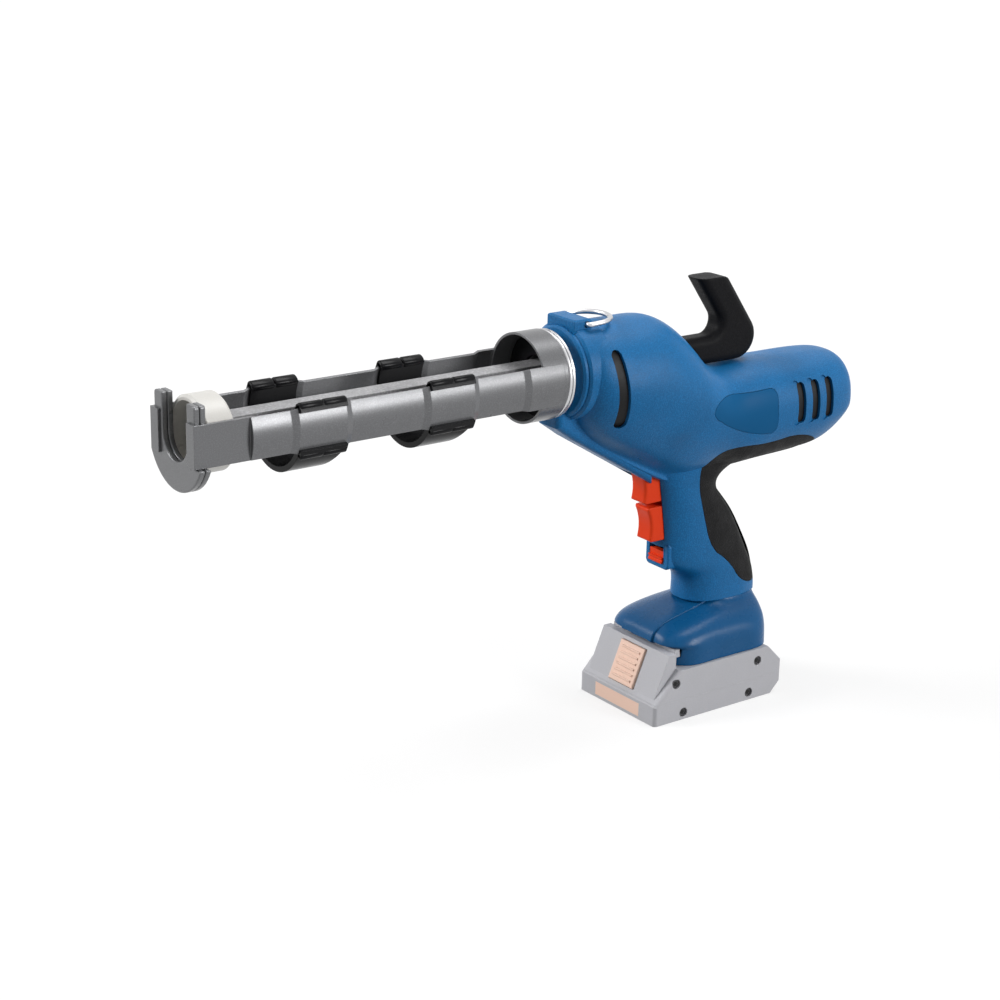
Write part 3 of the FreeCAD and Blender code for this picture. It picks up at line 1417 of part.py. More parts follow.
def make_foot():
    half = skinned(foot_sections(0))
    ridge = skinned(foot_sections(-s.foot_ridge)).common(Part.makeBox(
        s.overrun, s.foot_ridge_half_width, s.overrun, Vector(s.foot_ridge_back, 0, foot_bottom)))
    half = half.fuse(ridge)
    solid = half.fuse(mirrored(half)).removeSplitter()
    slot = Part.makeBox(s.overrun * 2, 2 * (channel_half - s.rail_lip), channel_top - pack_top + s.overrun,
                        Vector(foot_channel_back, -(channel_half - s.rail_lip), pack_top - s.overrun))
    groove = Part.makeBox(s.overrun * 2, 2 * channel_half, channel_top - lip_top,
                          Vector(foot_channel_back, -channel_half, lip_top))
    nose_room = Part.makeBox(s.overrun, 2 * s.foot_half_width, s.pack_nose_height + s.running_gap,
                             Vector(s.pack_nose_back - s.running_gap, -s.foot_half_width, 0))
    terminal_room = Part.makeBox(s.terminal_length, 2 * s.terminal_half_width, s.terminal_height,
                                 Vector(s.terminal_x, -s.terminal_half_width, channel_top))
    wire_way = Part.makeBox(s.terminal_length / 2, s.terminal_half_width, s.overrun,
                            Vector(s.terminal_x, -s.terminal_half_width / 2, channel_top))
    foot = without(solid, (slot, groove, nose_room, terminal_room, wire_way))
    node(feature("battery_foot", foot), "battery_foot")
    block_piece = block("terminal_body", s.terminal_length, 2 * s.terminal_half_width, s.terminal_height,
                        s.terminal_x, 0, channel_top)
    node(block_piece, "terminal_block")
    blades = []
    for share in BLADE_SHARES:
        side = share * s.blade_pitch - s.blade_thickness / 2
        blades.append(Part.makeBox(s.blade_length, s.blade_thickness, s.blade_height, Vector(
            s.terminal_x + s.blade_length / 2, side, channel_top - s.blade_height)))
    node(feature("terminal_blades", Part.makeCompound(blades)), "terminal_blades")
    board = block("board", s.board_length, 2 * s.board_half_width, s.board_thickness,
                  s.terminal_x - s.terminal_length / 2, 0, s.grip_seam)
    node(board, "control_board")


make_foot()


# Battery pack

# Places of the pack's side screws as shares of its front reach and of its shoulder height
PACK_SCREW_SHARES = ((0.68, 0.75), (-0.62, 0.76), (0.55, 0.14), (-0.50, 0.15))


def pack_side():
    """The pack's side outline up to its shoulder."""
    corner = s.pack_corner
    return ((s.pack_front, 0), (s.pack_front, s.pack_front_height), (s.pack_nose_back, pack_top),
            (s.pack_back + s.pack_back_slope, pack_top),
            (s.pack_back, pack_top - s.pack_back_slope), (s.pack_back, corner), (s.pack_back + corner, 0))


def make_pack():
    body = slab(pack_side(), -s.pack_half_width, s.pack_half_width)
    body = rounded(body, s.pack_wall, lambda edge: edge.BoundBox.XMin > s.pack_nose_back - s.pack_wall
                   and edge.BoundBox.YLength < s.pack_wall)
    nose = slab(((s.pack_nose_low, s.pack_split), (s.pack_nose_top, s.pack_nose_height),
                 (s.pack_nose_back, s.pack_nose_height), (s.pack_nose_back, s.pack_split)),
                -s.pack_nose_half_width, s.pack_nose_half_width)
    rail_start = foot_channel_back + s.running_gap
    rail_run = s.foot_front - rail_start
    stalk = Part.makeBox(rail_run, 2 * stalk_half, s.tongue_height, Vector(rail_start, -stalk_half, pack_top))
    flange_bottom = lip_top + s.running_gap
    flange = Part.makeBox(rail_run, 2 * tongue_half, tongue_top - flange_bottom,
                          Vector(rail_start, -tongue_half, flange_bottom))
    whole = body.fuse([nose, stalk, flange]).removeSplitter()
    low = Part.makeBox(s.overrun * 4, s.overrun * 4, s.pack_split,
                       Vector(-s.overrun * 2, -s.overrun * 2, 0))
    base = whole.common(low)
    cover = whole.cut(low)
    cells = []
    room = []
    for index in range(int(s.cell_count)):
        x = (index - (s.cell_count - 1) / 2) * s.cell_pitch - s.cell_shift
        centre = Vector(x, -s.cell_length / 2, s.pack_wall + s.cell_radius)
        cells.append(Part.makeCylinder(s.cell_radius, s.cell_length, centre, LEFT))
        room.append(Part.makeCylinder(s.cell_radius + s.fit_gap, s.cell_length, centre, LEFT))
    slots = []
    for share in BLADE_SHARES:
        side = share * s.blade_pitch - s.blade_thickness / 2 - s.running_gap
        slots.append(Part.makeBox(
            s.overrun * 2, s.blade_thickness + 2 * s.running_gap, s.blade_height + s.running_gap,
            Vector(foot_channel_back - s.overrun, side, channel_top - s.blade_height - s.running_gap)))
    button, button_room = pack_button()
    bumper = Part.makeBox(s.bumper_thickness, 2 * s.bumper_half_width, s.bumper_height,
                          Vector(s.pack_front - s.bumper_thickness, -s.bumper_half_width,
                                 (s.pack_front_height - s.bumper_height) / 2))
    screws = []
    screw_room = []
    for along, up in PACK_SCREW_SHARES:
        for side in (-1, 1):
            face = Vector(s.pack_front * along, side * s.pack_half_width, pack_top * up)
            inwards = Vector(0, -side, 0)
            depth = s.pack_screw_inset + s.pack_screw_length
            screw_room.append(Part.makeCylinder(s.pack_screw_head, depth, face, inwards))
            screw = Part.makeCylinder(s.pack_screw_head - s.fit_gap, s.pack_screw_length,
                                      face + inwards * s.pack_screw_inset, inwards)
            screws.append(screw)
    node(feature("battery_base", without(base, room + screw_room + [bumper])), "battery_base")
    cover = without(cover, room + slots + screw_room + [button_room])
    node(feature("battery_cover", cover), "battery_cover")
    node(feature("battery_cells", Part.makeCompound(cells)), "battery_cells")
    node(feature("battery_button", button), "battery_button")
    node(feature("battery_bumper", bumper), "battery_bumper")
    node(feature("battery_screws", Part.makeCompound(screws)), "battery_screws")


def nose_frame():
    """The middle of the nose's sloped face and the turn that points X out of it."""
    low = Vector(s.pack_nose_low, 0, s.pack_split)
    high = Vector(s.pack_nose_top, 0, s.pack_nose_height)
    slope = high - low
    return (low + high) / 2, math.degrees(math.atan2(-slope.x, slope.z))


def pack_button():
    """The ribbed release button in the nose, and the room it moves in."""
    centre, tilt = nose_frame()
    turn = Placement(centre, Rotation(LEFT, -tilt))
    body = button_panel(s.button_thickness, s.button_rise, 0)
    body = rounded(body, s.button_rise / 2, lambda edge: edge.BoundBox.XMin > s.button_rise / 2)
    rib_side = s.button_half_width - 2 * s.button_rise
    for index in range(int(s.button_ribs)):
        z = s.button_length * ((index + 1) / (s.button_ribs + 1) - 1 / 2)
        rib = Part.makeCylinder(s.button_rib, 2 * rib_side, Vector(s.button_rise, -rib_side, z), LEFT)
        body = body.fuse(rib)
    room = button_panel(s.button_thickness + s.button_travel + s.running_gap, s.overrun, s.running_gap)
    body.Placement = turn
    room.Placement = turn
    return body, room


def button_panel(deep, proud, margin):
    """A box on the nose's face, from a depth below it to a height above it."""
    half_width = s.button_half_width + margin
    length = s.button_length + 2 * margin
    return Part.makeBox(deep + proud, 2 * half_width, length, Vector(-deep, -half_width, -length / 2))


make_pack()


# Checks and files

doc.recompute()
for piece in doc.Objects:
    if "Invalid" in piece.State or "Error" in piece.State:
        raise RuntimeError(f"{piece.Label} did not compute")
for piece in nodes:
    if piece.Shape.isNull() or not piece.Shape.isValid():
        raise RuntimeError(f"{piece.Label} has no valid shape")
os.makedirs("parts", exist_ok=True)
for piece in nodes:
    piece.Shape.exportStep(f"parts/{piece.Label}.step")
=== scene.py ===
import math

import bmesh
import bpy
from mathutils import Matrix, Vector


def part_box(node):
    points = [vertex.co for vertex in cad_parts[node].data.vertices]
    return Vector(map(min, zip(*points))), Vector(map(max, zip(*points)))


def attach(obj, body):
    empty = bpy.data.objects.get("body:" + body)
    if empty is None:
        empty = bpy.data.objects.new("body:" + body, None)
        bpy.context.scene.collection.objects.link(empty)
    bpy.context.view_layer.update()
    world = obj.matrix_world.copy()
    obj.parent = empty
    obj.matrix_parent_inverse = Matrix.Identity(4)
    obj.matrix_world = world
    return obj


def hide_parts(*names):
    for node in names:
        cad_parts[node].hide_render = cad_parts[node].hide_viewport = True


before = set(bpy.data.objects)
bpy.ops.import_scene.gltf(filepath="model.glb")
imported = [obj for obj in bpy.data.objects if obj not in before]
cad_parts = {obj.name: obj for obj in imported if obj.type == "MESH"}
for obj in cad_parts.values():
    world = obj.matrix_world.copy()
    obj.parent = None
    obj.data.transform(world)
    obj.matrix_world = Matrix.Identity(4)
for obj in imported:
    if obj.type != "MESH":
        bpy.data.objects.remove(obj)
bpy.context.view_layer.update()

# Lengths are in metres. x runs forward along the barrel, y to the tool's left and z up.

WHITE = (1.0, 1.0, 1.0, 1.0)


# Shader helpers

# Noise levels between which the roughness swings from its lowest to its highest
SHEEN_LEVELS = (0.3, 0.7)
EDGE_SAMPLES = 4
# Cosine between the true and the rounded normal at which wear starts, and at which it is full
EDGE_LEVELS = (0.995, 0.86)
WEAR_SCALE = 260.0
WEAR_DETAIL = 4.0
WEAR_LEVELS = (0.42, 0.66)


class Shader:
    """One node material with a principled surface, built up step by step."""

    def __init__(self, name, colour, roughness, metallic=0.0, specular=0.5):
        self.material = bpy.data.materials.new(name)
        self.material.use_nodes = True
        self.tree = self.material.node_tree
        self.tree.nodes.clear()
        self.surface = self.add("ShaderNodeBsdfPrincipled")
        output = self.add("ShaderNodeOutputMaterial")
        self.link(self.surface.outputs["BSDF"], output.inputs["Surface"])
        self.surface.inputs["Base Color"].default_value = (*colour, 1.0)
        self.surface.inputs["Roughness"].default_value = roughness
        self.surface.inputs["Metallic"].default_value = metallic
        self.surface.inputs["Specular IOR Level"].default_value = specular
        self.roughness = roughness
        self.place = self.add("ShaderNodeTexCoord").outputs["Object"]
        self.normal = None

    def add(self, kind):
        return self.tree.nodes.new(kind)

    def link(self, source, target):
        self.tree.links.new(source, target)

    def noise(self, scale, detail):
        node = self.add("ShaderNodeTexNoise")
        node.inputs["Scale"].default_value = scale
        node.inputs["Detail"].default_value = detail
        self.link(self.place, node.inputs["Vector"])
        return node.outputs["Fac"]

    def cells(self, scale):
        node = self.add("ShaderNodeTexVoronoi")
        node.inputs["Scale"].default_value = scale
        self.link(self.place, node.inputs["Vector"])
        return node.outputs["Distance"]

    def span(self, value, levels, results=(0.0, 1.0)):
        """Maps a value that runs between two levels onto two results."""
        node = self.add("ShaderNodeMapRange")
        self.link(value, node.inputs["Value"])
        node.inputs["From Min"].default_value, node.inputs["From Max"].default_value = levels
        node.inputs["To Min"].default_value, node.inputs["To Max"].default_value = results
        return node.outputs["Result"]

    def product(self, one, other):
        node = self.add("ShaderNodeMath")
        node.operation = "MULTIPLY"
        self.link(one, node.inputs[0])
        self.link(other, node.inputs[1])
        return node.outputs["Value"]

    def vary_colour(self, factor, other):
        """Blends the colour so far towards another by a factor."""
        mix = self.add("ShaderNodeMix")
        mix.data_type = "RGBA"
        base = self.surface.inputs["Base Color"]
        if base.is_linked:
            self.link(base.links[0].from_socket, mix.inputs["A"])
        else:
            mix.inputs["A"].default_value = base.default_value
        mix.inputs["B"].default_value = (*other, 1.0)
        self.link(factor, mix.inputs["Factor"])
        self.link(mix.outputs["Result"], base)

    def vary_roughness(self, factor, spread):
        results = (self.roughness - spread, self.roughness + spread)
        self.link(self.span(factor, SHEEN_LEVELS, results), self.surface.inputs["Roughness"])

    def bump(self, height, depth, strength=1.0):
        """Adds relief of a depth in metres on top of any relief so far."""
        node = self.add("ShaderNodeBump")
        node.inputs["Distance"].default_value = depth
        node.inputs["Strength"].default_value = strength
        self.link(height, node.inputs["Height"])
        if self.normal is not None:
            self.link(self.normal, node.inputs["Normal"])
        self.normal = node.outputs["Normal"]
        self.link(self.normal, self.surface.inputs["Normal"])

    def rounded(self, radius, worn, share):
        """Breaks sharp edges by a small radius and lets them wear towards another colour."""
        edge = self.add("ShaderNodeBevel")
        edge.samples = EDGE_SAMPLES
        edge.inputs["Radius"].default_value = radius
        flat = self.add("ShaderNodeNewGeometry").outputs["Normal"]
        bend = self.add("ShaderNodeVectorMath")
        bend.operation = "DOT_PRODUCT"
        self.link(edge.outputs["Normal"], bend.inputs[0])
        self.link(flat, bend.inputs[1])
        ridge = self.span(bend.outputs["Value"], EDGE_LEVELS)
        rubbed = self.span(self.noise(WEAR_SCALE, WEAR_DETAIL), WEAR_LEVELS, (0.0, share))
        self.vary_colour(self.product(ridge, rubbed), worn)
        self.normal = edge.outputs["Normal"]


def lighter(colour, share, lift=0.0):
    """A colour brighter by a share, or darker by a negative one, and then lifted."""
    return tuple(min(1.0, part * (1.0 + share) + lift) for part in colour)


# Kinds of surface. LEVELS are the noise levels between which an effect sets in, and SHARE is how
# far it goes.

GRAIN_DETAIL = 2.0
GRAIN_LEVELS = (0.42, 0.72)
GRAIN_SHARE = 0.6
GRAIN_LIFT = 0.006
CLOUD_SCALE = 38.0
CLOUD_DETAIL = 4.0
CLOUD_LEVELS = (0.45, 0.8)
CLOUD_SHARE = 0.35
CLOUD_DARKER = -0.6
PLASTIC_SHEEN_SCALE = 95.0
PLASTIC_SHEEN_DETAIL = 4.0
PLASTIC_SHEEN_SPREAD = 0.05
PLASTIC_WORN_LIGHTER = 0.5
PLASTIC_WORN_LIFT = 0.01
PLASTIC_WORN_SHARE = 0.55
# Orange peel, against the grain's own scale and depth
PEEL_SCALE = 0.3
PEEL_DEPTH = 0.6
PEEL_STRENGTH = 0.5

RUBBER_ROUGHNESS = 0.62
RUBBER_SPECULAR = 0.12
PEBBLE_SCALE = 1150.0
PEBBLE_DEPTH = 0.00030
PEBBLE_STRENGTH = 0.9
# Pale specks on the rubber: painted glints where the grain catches light
GLINT_SCALE = 1500.0
GLINT_DETAIL = 2.0
GLINT_LEVELS = (0.58, 0.76)
GLINT_SHARE = 0.6
GLINT_COLOUR = (0.05, 0.05, 0.053)
RUBBER_SHEEN_SCALE = 120.0
RUBBER_SHEEN_DETAIL = 3.0
RUBBER_SHEEN_SPREAD = 0.08
RUBBER_EDGE = 0.0005
RUBBER_WORN_LIGHTER = 0.6
RUBBER_WORN_LIFT = 0.012
RUBBER_WORN_SHARE = 0.5
NAP_SCALE = 2600.0
NAP_DETAIL = 2.0
NAP_DEPTH = 0.00005

LAY_DETAIL = 4.0
LAY_LEVELS = (0.45, 0.7)
LAY_SHARE = 0.5
STAIN_SCALE = 55.0
STAIN_DETAIL = 5.0
STAIN_LEVELS = (0.5, 0.78)
STAIN_SHARE = 0.7
STAIN_DARKER = -0.45
STAIN_SHEEN_SPREAD = 0.02
METAL_WORN_LIGHTER = 0.45
METAL_WORN_LIFT = 0.02
METAL_WORN_SHARE = 0.7


def moulded(name, colour, roughness, fleck, grain=2600.0, depth=0.00006, specular=0.5,
            edge=0.0004):
    """Moulded plastic: a fine eroded grain over orange peel, cloudiness and rubbed edges."""
    shader = Shader(name, colour, roughness, specular=specular)
    fine = shader.noise(grain, GRAIN_DETAIL)
    shader.vary_colour(shader.span(fine, GRAIN_LEVELS, (0.0, GRAIN_SHARE)),
                       lighter(colour, fleck, GRAIN_LIFT * fleck))
    clouds = shader.noise(CLOUD_SCALE, CLOUD_DETAIL)
    shader.vary_colour(shader.span(clouds, CLOUD_LEVELS, (0.0, CLOUD_SHARE)),
                       lighter(colour, CLOUD_DARKER * fleck))
    shader.vary_roughness(shader.noise(PLASTIC_SHEEN_SCALE, PLASTIC_SHEEN_DETAIL),
                          PLASTIC_SHEEN_SPREAD)
    shader.rounded(edge, lighter(colour, PLASTIC_WORN_LIGHTER, PLASTIC_WORN_LIFT),
                   PLASTIC_WORN_SHARE)
    shader.bump(shader.noise(grain * PEEL_SCALE, GRAIN_DETAIL), depth * PEEL_DEPTH, PEEL_STRENGTH)
    shader.bump(fine, depth)
    return shader


def rubber(name, colour):
    """Soft-touch rubber: pebbled and dull, with pale specks painted in as glints where the grain
    catches light.
    """
    shader = Shader(name, colour, RUBBER_ROUGHNESS, specular=RUBBER_SPECULAR)
    # Painted glints: pale specks in the colour where the grain catches light
    painted_glints = shader.noise(GLINT_SCALE, GLINT_DETAIL)
    shader.vary_colour(shader.span(painted_glints, GLINT_LEVELS, (0.0, GLINT_SHARE)), GLINT_COLOUR)
    shader.vary_roughness(shader.noise(RUBBER_SHEEN_SCALE, RUBBER_SHEEN_DETAIL),
                          RUBBER_SHEEN_SPREAD)
    shader.rounded(RUBBER_EDGE, lighter(colour, RUBBER_WORN_LIGHTER, RUBBER_WORN_LIFT),
                   RUBBER_WORN_SHARE)
    shader.bump(shader.cells(PEBBLE_SCALE), PEBBLE_DEPTH, PEBBLE_STRENGTH)
    shader.bump(shader.noise(NAP_SCALE, NAP_DETAIL), NAP_DEPTH)
    return shader


def metal(name, colour, roughness, streak, metallic=1.0, depth=0.00002, tarnish=0.4, edge=0.0003,
          specular=0.5, fleck=0.2):
    """Bare or painted metal: fine lay marks, cloudy sheen, slight staining and brighter edges; on
    the paint the lighter flecks are partly painted sparkle.
    """
    shader = Shader(name, colour, roughness, metallic=metallic, specular=specular)
    lay = shader.noise(streak, LAY_DETAIL)
    stain = shader.noise(STAIN_SCALE, STAIN_DETAIL)
    shader.vary_colour(shader.span(stain, STAIN_LEVELS, (0.0, STAIN_SHARE)),
                       lighter(colour, STAIN_DARKER * tarnish))
    shader.vary_colour(shader.span(lay, LAY_LEVELS, (0.0, LAY_SHARE)), lighter(colour, fleck))
    shader.vary_roughness(stain, STAIN_SHEEN_SPREAD)
    shader.rounded(edge, lighter(colour, METAL_WORN_LIGHTER, METAL_WORN_LIFT), METAL_WORN_SHARE)
    shader.bump(lay, depth)
    return shader


# Finishes for the model's own pieces

BLUE = (0.006, 0.128, 0.330)
FOOT_BLUE = (0.005, 0.088, 0.235)
LABEL_BLUE = (0.007, 0.104, 0.262)
RED = (0.82, 0.052, 0.009)
GREY = (0.138, 0.140, 0.146)
BLACK = (0.0075, 0.0075, 0.0085)
GRIP_BLACK = (0.0075, 0.0075, 0.008)
BAFFLE_BLACK = (0.006, 0.006, 0.0065)
# Near-black of the screw sockets: painted shade standing for their recesses
SOCKET_SHADE = (0.012, 0.012, 0.012)
IVORY = (0.68, 0.665, 0.63)
PACK_GREY = (0.52, 0.52, 0.55)
SALMON = (0.97, 0.68, 0.55)
BRIGHT_STEEL = (0.58, 0.58, 0.59)
ROD_STEEL = (0.34, 0.34, 0.35)
SCREW_STEEL = (0.09, 0.09, 0.094)
GEAR_STEEL = (0.42, 0.42, 0.43)
ALLOY = (0.55, 0.55, 0.57)
BRONZE = (0.52, 0.33, 0.14)
COPPER = (0.70, 0.42, 0.20)
BOARD_GREEN = (0.02, 0.12, 0.05)
SLEEVE_BLUE = (0.06, 0.22, 0.36)

finishes = {
    "shell": moulded("moulded_blue", BLUE, roughness=0.40, fleck=0.7, grain=1250.0, depth=0.00018,
                     specular=0.2, edge=0.0006),
    "foot": moulded("foot_blue", FOOT_BLUE, roughness=0.28, fleck=0.2, grain=3200.0, depth=0.00003,
                    specular=0.18, edge=0.0006),
    "label": moulded("label_blue", LABEL_BLUE, roughness=0.36, fleck=0.12, grain=4200.0,
                     depth=0.000015, specular=0.06, edge=0.0002),
    "grip": rubber("grip_rubber", GRIP_BLACK),
    "black": moulded("black_plastic", BLACK, roughness=0.42, fleck=0.8, grain=1700.0,
                     depth=0.00018, specular=0.05),
    "saddle": moulded("saddle_black", BLACK, roughness=0.22, fleck=0.4, grain=3600.0,
                      depth=0.00002, specular=0.1),
    "baffle": moulded("baffle_black", BAFFLE_BLACK, roughness=0.5, fleck=0.5, specular=0.2),
    "red": moulded("trigger_red", RED, roughness=0.38, fleck=0.12, grain=3400.0, depth=0.00003,
                   specular=0.14, edge=0.0005),
    "ivory": moulded("piston_ivory", IVORY, roughness=0.36, fleck=0.1, grain=1800.0,
                     depth=0.00003),
    "pack": moulded("pack_grey", PACK_GREY, roughness=0.48, fleck=0.14, specular=0.3,
                    edge=0.0005),
    "salmon": moulded("pack_salmon", SALMON, roughness=0.44, fleck=0.08, specular=0.25),
    # Silver paint: its strong lighter flecks are partly metal flake grain and partly painted
    # sparkle
    "paint": metal("holder_paint", GREY, roughness=0.29, streak=1500.0, metallic=0.3,
                   depth=0.000008, tarnish=0.2, edge=0.0006, specular=0.6, fleck=0.7),
    "bright": metal("bright_steel", BRIGHT_STEEL, roughness=0.32, streak=2400.0, depth=0.000006,
                    tarnish=0.25),
    "rod": metal("rod_steel", ROD_STEEL, roughness=0.42, streak=700.0, metallic=0.3, depth=0.0003,
                 tarnish=1.0, fleck=1.0),
    "screw": metal("dark_screw", SCREW_STEEL, roughness=0.38, streak=2200.0),
    "socket": moulded("socket_painted_shade", SOCKET_SHADE, roughness=0.6, fleck=0.4, specular=0.2),
    "gear": metal("gear_steel", GEAR_STEEL, roughness=0.34, streak=1600.0),
    "alloy": metal("cast_alloy", ALLOY, roughness=0.48, streak=1900.0, depth=0.00006),
    "bronze": metal("bush_bronze", BRONZE, roughness=0.42, streak=2000.0),
    "copper": metal("blade_copper", COPPER, roughness=0.28, streak=1800.0),
    "board": moulded("board_green", BOARD_GREEN, roughness=0.4, fleck=0.3),
    "sleeve": moulded("cell_sleeve", SLEEVE_BLUE, roughness=0.3, fleck=0.15),
}
NODE_FINISHES = {
    "shell": ("housing_left", "housing_right", "strap_lug", "speed_dial"),
    "foot": ("battery_foot",),
    "label": ("label_plate",),
    "grip": ("grip_overmould",),
    "black": ("rod_handle", "neck_front_plate", "front_guide", "rear_guide", "motor_end",
              "switch_module", "terminal_block"),
    "saddle": ("saddle_front", "saddle_rear"),
    "baffle": ("vent_baffles",),
    "red": ("release_trigger", "switch_trigger", "lock_slider"),
    "ivory": ("piston",),
    "pack": ("battery_base", "battery_cover"),
    "salmon": ("battery_button", "battery_bumper"),
    "paint": ("collar_ring", "rail_left", "rail_right", "front_plate", "backing_plate"),
    "bright": ("retaining_ring", "d_ring"),
    "rod": ("piston_rod",),
    "screw": ("housing_screws", "piston_screw", "handle_pin", "battery_screws"),
    "gear": ("neck_sleeve", "drive_pinion", "final_gear", "lay_gear", "layshaft", "bevel_wheel",
             "bevel_pinion", "gearbox", "motor"),
    "alloy": ("gear_frame",),
    "bronze": ("shaft_bushes",),
    "copper": ("terminal_blades",),
    "board": ("control_board",),
    "sleeve": ("battery_cells",),
}


def dress_nodes():
    """Gives each of the model's own pieces its finish."""
    for finish, names in NODE_FINISHES.items():
        for name in names:
            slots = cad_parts[name].data.materials
            slots.clear()
            slots.append(finishes[finish].material)


# Mesh helpers

FORWARD = Vector((1.0, 0.0, 0.0))
SIDES = (1.0, -1.0)
JOIN_DISTANCE = 0.000001


def as_piece(name, form, finish, body):
    """Turns a bmesh into a piece that rides on a body."""
    data = bpy.data.meshes.new(name)
    bmesh.ops.recalc_face_normals(form, faces=form.faces)
    form.to_mesh(data)
    form.free()
    data.materials.append(finishes[finish].material)
    piece = bpy.data.objects.new(name, data)
    bpy.context.collection.objects.link(piece)
    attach(piece, body)
    return piece


def skin(form, rows):
    """Joins each closed row of vertices to the next by a band of faces."""
    count = len(rows[0])
    for row, following in zip(rows, rows[1:]):
        for index in range(count):
            after = (index + 1) % count
            form.faces.new((row[index], row[after], following[after], following[index]))


def capped_rings(form, loops):
    """Skins closed loops of points and caps both ends."""
    rows = [[form.verts.new(point) for point in loop] for loop in loops]
    skin(form, rows)
    form.faces.new(rows[0][::-1])
    form.faces.new(rows[-1])


def closed_rings(form, loops):
    """Skins closed loops of points into a frame whose last loop meets its first."""
    rows = [[form.verts.new(point) for point in loop] for loop in loops]
    skin(form, rows + rows[:1])


def turns(count):
    """The angles of points spread evenly round a circle."""
    return [2.0 * math.pi * index / count for index in range(count)]


def loop_at(centre, outwards, radii):
    """A closed loop round a centre, square to a direction that is itself square to the barrel."""
    along = outwards.cross(FORWARD)
    return [centre + FORWARD * (radius * math.cos(turn)) + along * (radius * math.sin(turn))
            for radius, turn in zip(radii, turns(len(radii)))]


def joined_mesh(node):
    """A node's surface with its split corners joined, as points and faces."""
    form = bmesh.new()
    form.from_mesh(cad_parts[node].data)
    bmesh.ops.remove_doubles(form, verts=form.verts, dist=JOIN_DISTANCE)
    form.verts.index_update()
    points = [vertex.co.copy() for vertex in form.verts]
    faces = [[vertex.index for vertex in face.verts] for face in form.faces]
    form.free()
    return points, faces


def separate_solids(node):
    """The points of each separate solid of a node."""
    points, faces = joined_mesh(node)
    leader = list(range(len(points)))

    def first_of(index):
        """Follows a point's leaders to the one that stands for its solid."""
        while leader[index] != index:
            index = leader[index]
        return index

    for face in faces:
        for corner in face[1:]:
            leader[first_of(corner)] = first_of(face[0])
    solids = {}
    for index, point in enumerate(points):
        solids.setdefault(first_of(index), []).append(point)
    return list(solids.values())


def stand_in(node, points, faces, body, slot):
    """A piece that stands for a node, in the node's own material."""
    data = bpy.data.meshes.new(f"{node}_dressed")
    data.from_pydata(points, [], faces)
    data.materials.append(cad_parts[node].data.materials[0])
    piece = bpy.data.objects.new(f"{node}_dressed", data)
    bpy.context.collection.objects.link(piece)
    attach(piece, body)
    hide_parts(node)
    return piece


# Pieces that stand for the model's own

RELAX_FACTOR = 0.5
# Node, body, slot, size of the remeshing grid and number of relaxing passes
SOFTENED = (
    ("rod_handle", "push_rod", "black_plastic", 0.0006, 10),
    ("release_trigger", "release_lever", "red_plastic", 0.0004, 8),
    ("switch_trigger", "switch_lever", "red_plastic", 0.0004, 8),
    ("front_plate", "holder", "silver_paint", 0.0004, 6),
    ("backing_plate", "holder", "silver_paint", 0.0004, 6),
)
# The foot's lip moves forward by its reach, eased in over a run along x and a rise along z
FOOT_NOSE_START = -0.005
FOOT_NOSE_RUN = 0.037
FOOT_NOSE_REACH = 0.006
FOOT_NOSE_BOTTOM = 0.0448
FOOT_NOSE_RISE = 0.0035
FOOT_SHARP_DEGREES = 30.0


def softened(node, body, slot, voxel, passes):
    """The node with its edges moulded round: remeshed finely, then relaxed."""
    piece = stand_in(node, *joined_mesh(node), body, slot)
    remesh = piece.modifiers.new("remesh", "REMESH")
    remesh.mode = "VOXEL"
    remesh.voxel_size = voxel
    relax = piece.modifiers.new("relax", "SMOOTH")
    relax.factor = RELAX_FACTOR
    relax.iterations = passes
    graph = bpy.context.evaluated_depsgraph_get()
    data = bpy.data.meshes.new_from_object(piece.evaluated_get(graph))
    piece.modifiers.clear()
    piece.data = data
    data.shade_smooth()


def ease(value):
    """A smooth step from 0 to 1."""
    value = min(1.0, max(0.0, value))
    return value * value * (3.0 - 2.0 * value)


def foot_with_nose():
    """The battery foot with its front lip drawn forward over the pack's nose."""
    points, faces = joined_mesh("battery_foot")
    for point in points:
        forward = ease((point.x - FOOT_NOSE_START) / FOOT_NOSE_RUN)
        raised = ease((point.z - FOOT_NOSE_BOTTOM) / FOOT_NOSE_RISE)
        point.x += FOOT_NOSE_REACH * forward * raised
    piece = stand_in("battery_foot", points, faces, "housing", "blue_foot")
    piece.data.shade_smooth()
    piece.data.set_sharp_from_angle(angle=math.radians(FOOT_SHARP_DEGREES))


# Small trim

SPOT_RADIUS = 0.0013
SPOT_RISE = 0.00035
SPOT_X = 0.1341
SPOT_ANGLES = (17.6, -16.0)
# Levels of a spot's dome, as shares of its rise
SPOT_LEVELS = (-0.6, 0.0, 0.45, 0.8, 0.97)
SPOT_POINTS = 20
# A socket is a dark plug set in the head and standing just proud of it: painted shade in place of
# a recess
SOCKET_LOBES = 6
SOCKET_POINTS = 48
SOCKET_PROUD = 0.00005
SOCKET_DEPTH = 0.0003
# A socket's middle radius and the swing of its lobes, as shares of the screw's radius
SOCKET_REACH = 0.52
SOCKET_SWING = 0.085
BEAD_POINTS = 24
BEAD_POWER = 0.8
BEAD_SLIT = 0.0004
# Steps of a bead's rounded end: distance from the end against its half height, and scale
BEAD_END_STEPS = ((0.0, 0.55), (0.06, 0.76), (0.2, 0.92), (0.45, 1.0))
# Angle above the barrel's side, distance from the barrel's axis, half thickness and half height
BEADS = ((27.6, 0.0287, 0.0033, 0.0024), (-27.8, 0.0299, 0.0020, 0.0020))
BOSS_SETBACK = 0.0016
BOSS_SINK = 0.004
BOSS_GAP = 0.0004
BOSS_TRAVEL = 0.003
BOSS_ROUND = 0.0008
BOSS_SIDE = 0.0042
BOSS_BELOW = 0.0036
BOSS_ABOVE = 0.0026
CORNER_SHARE = 0.35
CORNER_STEPS = 6


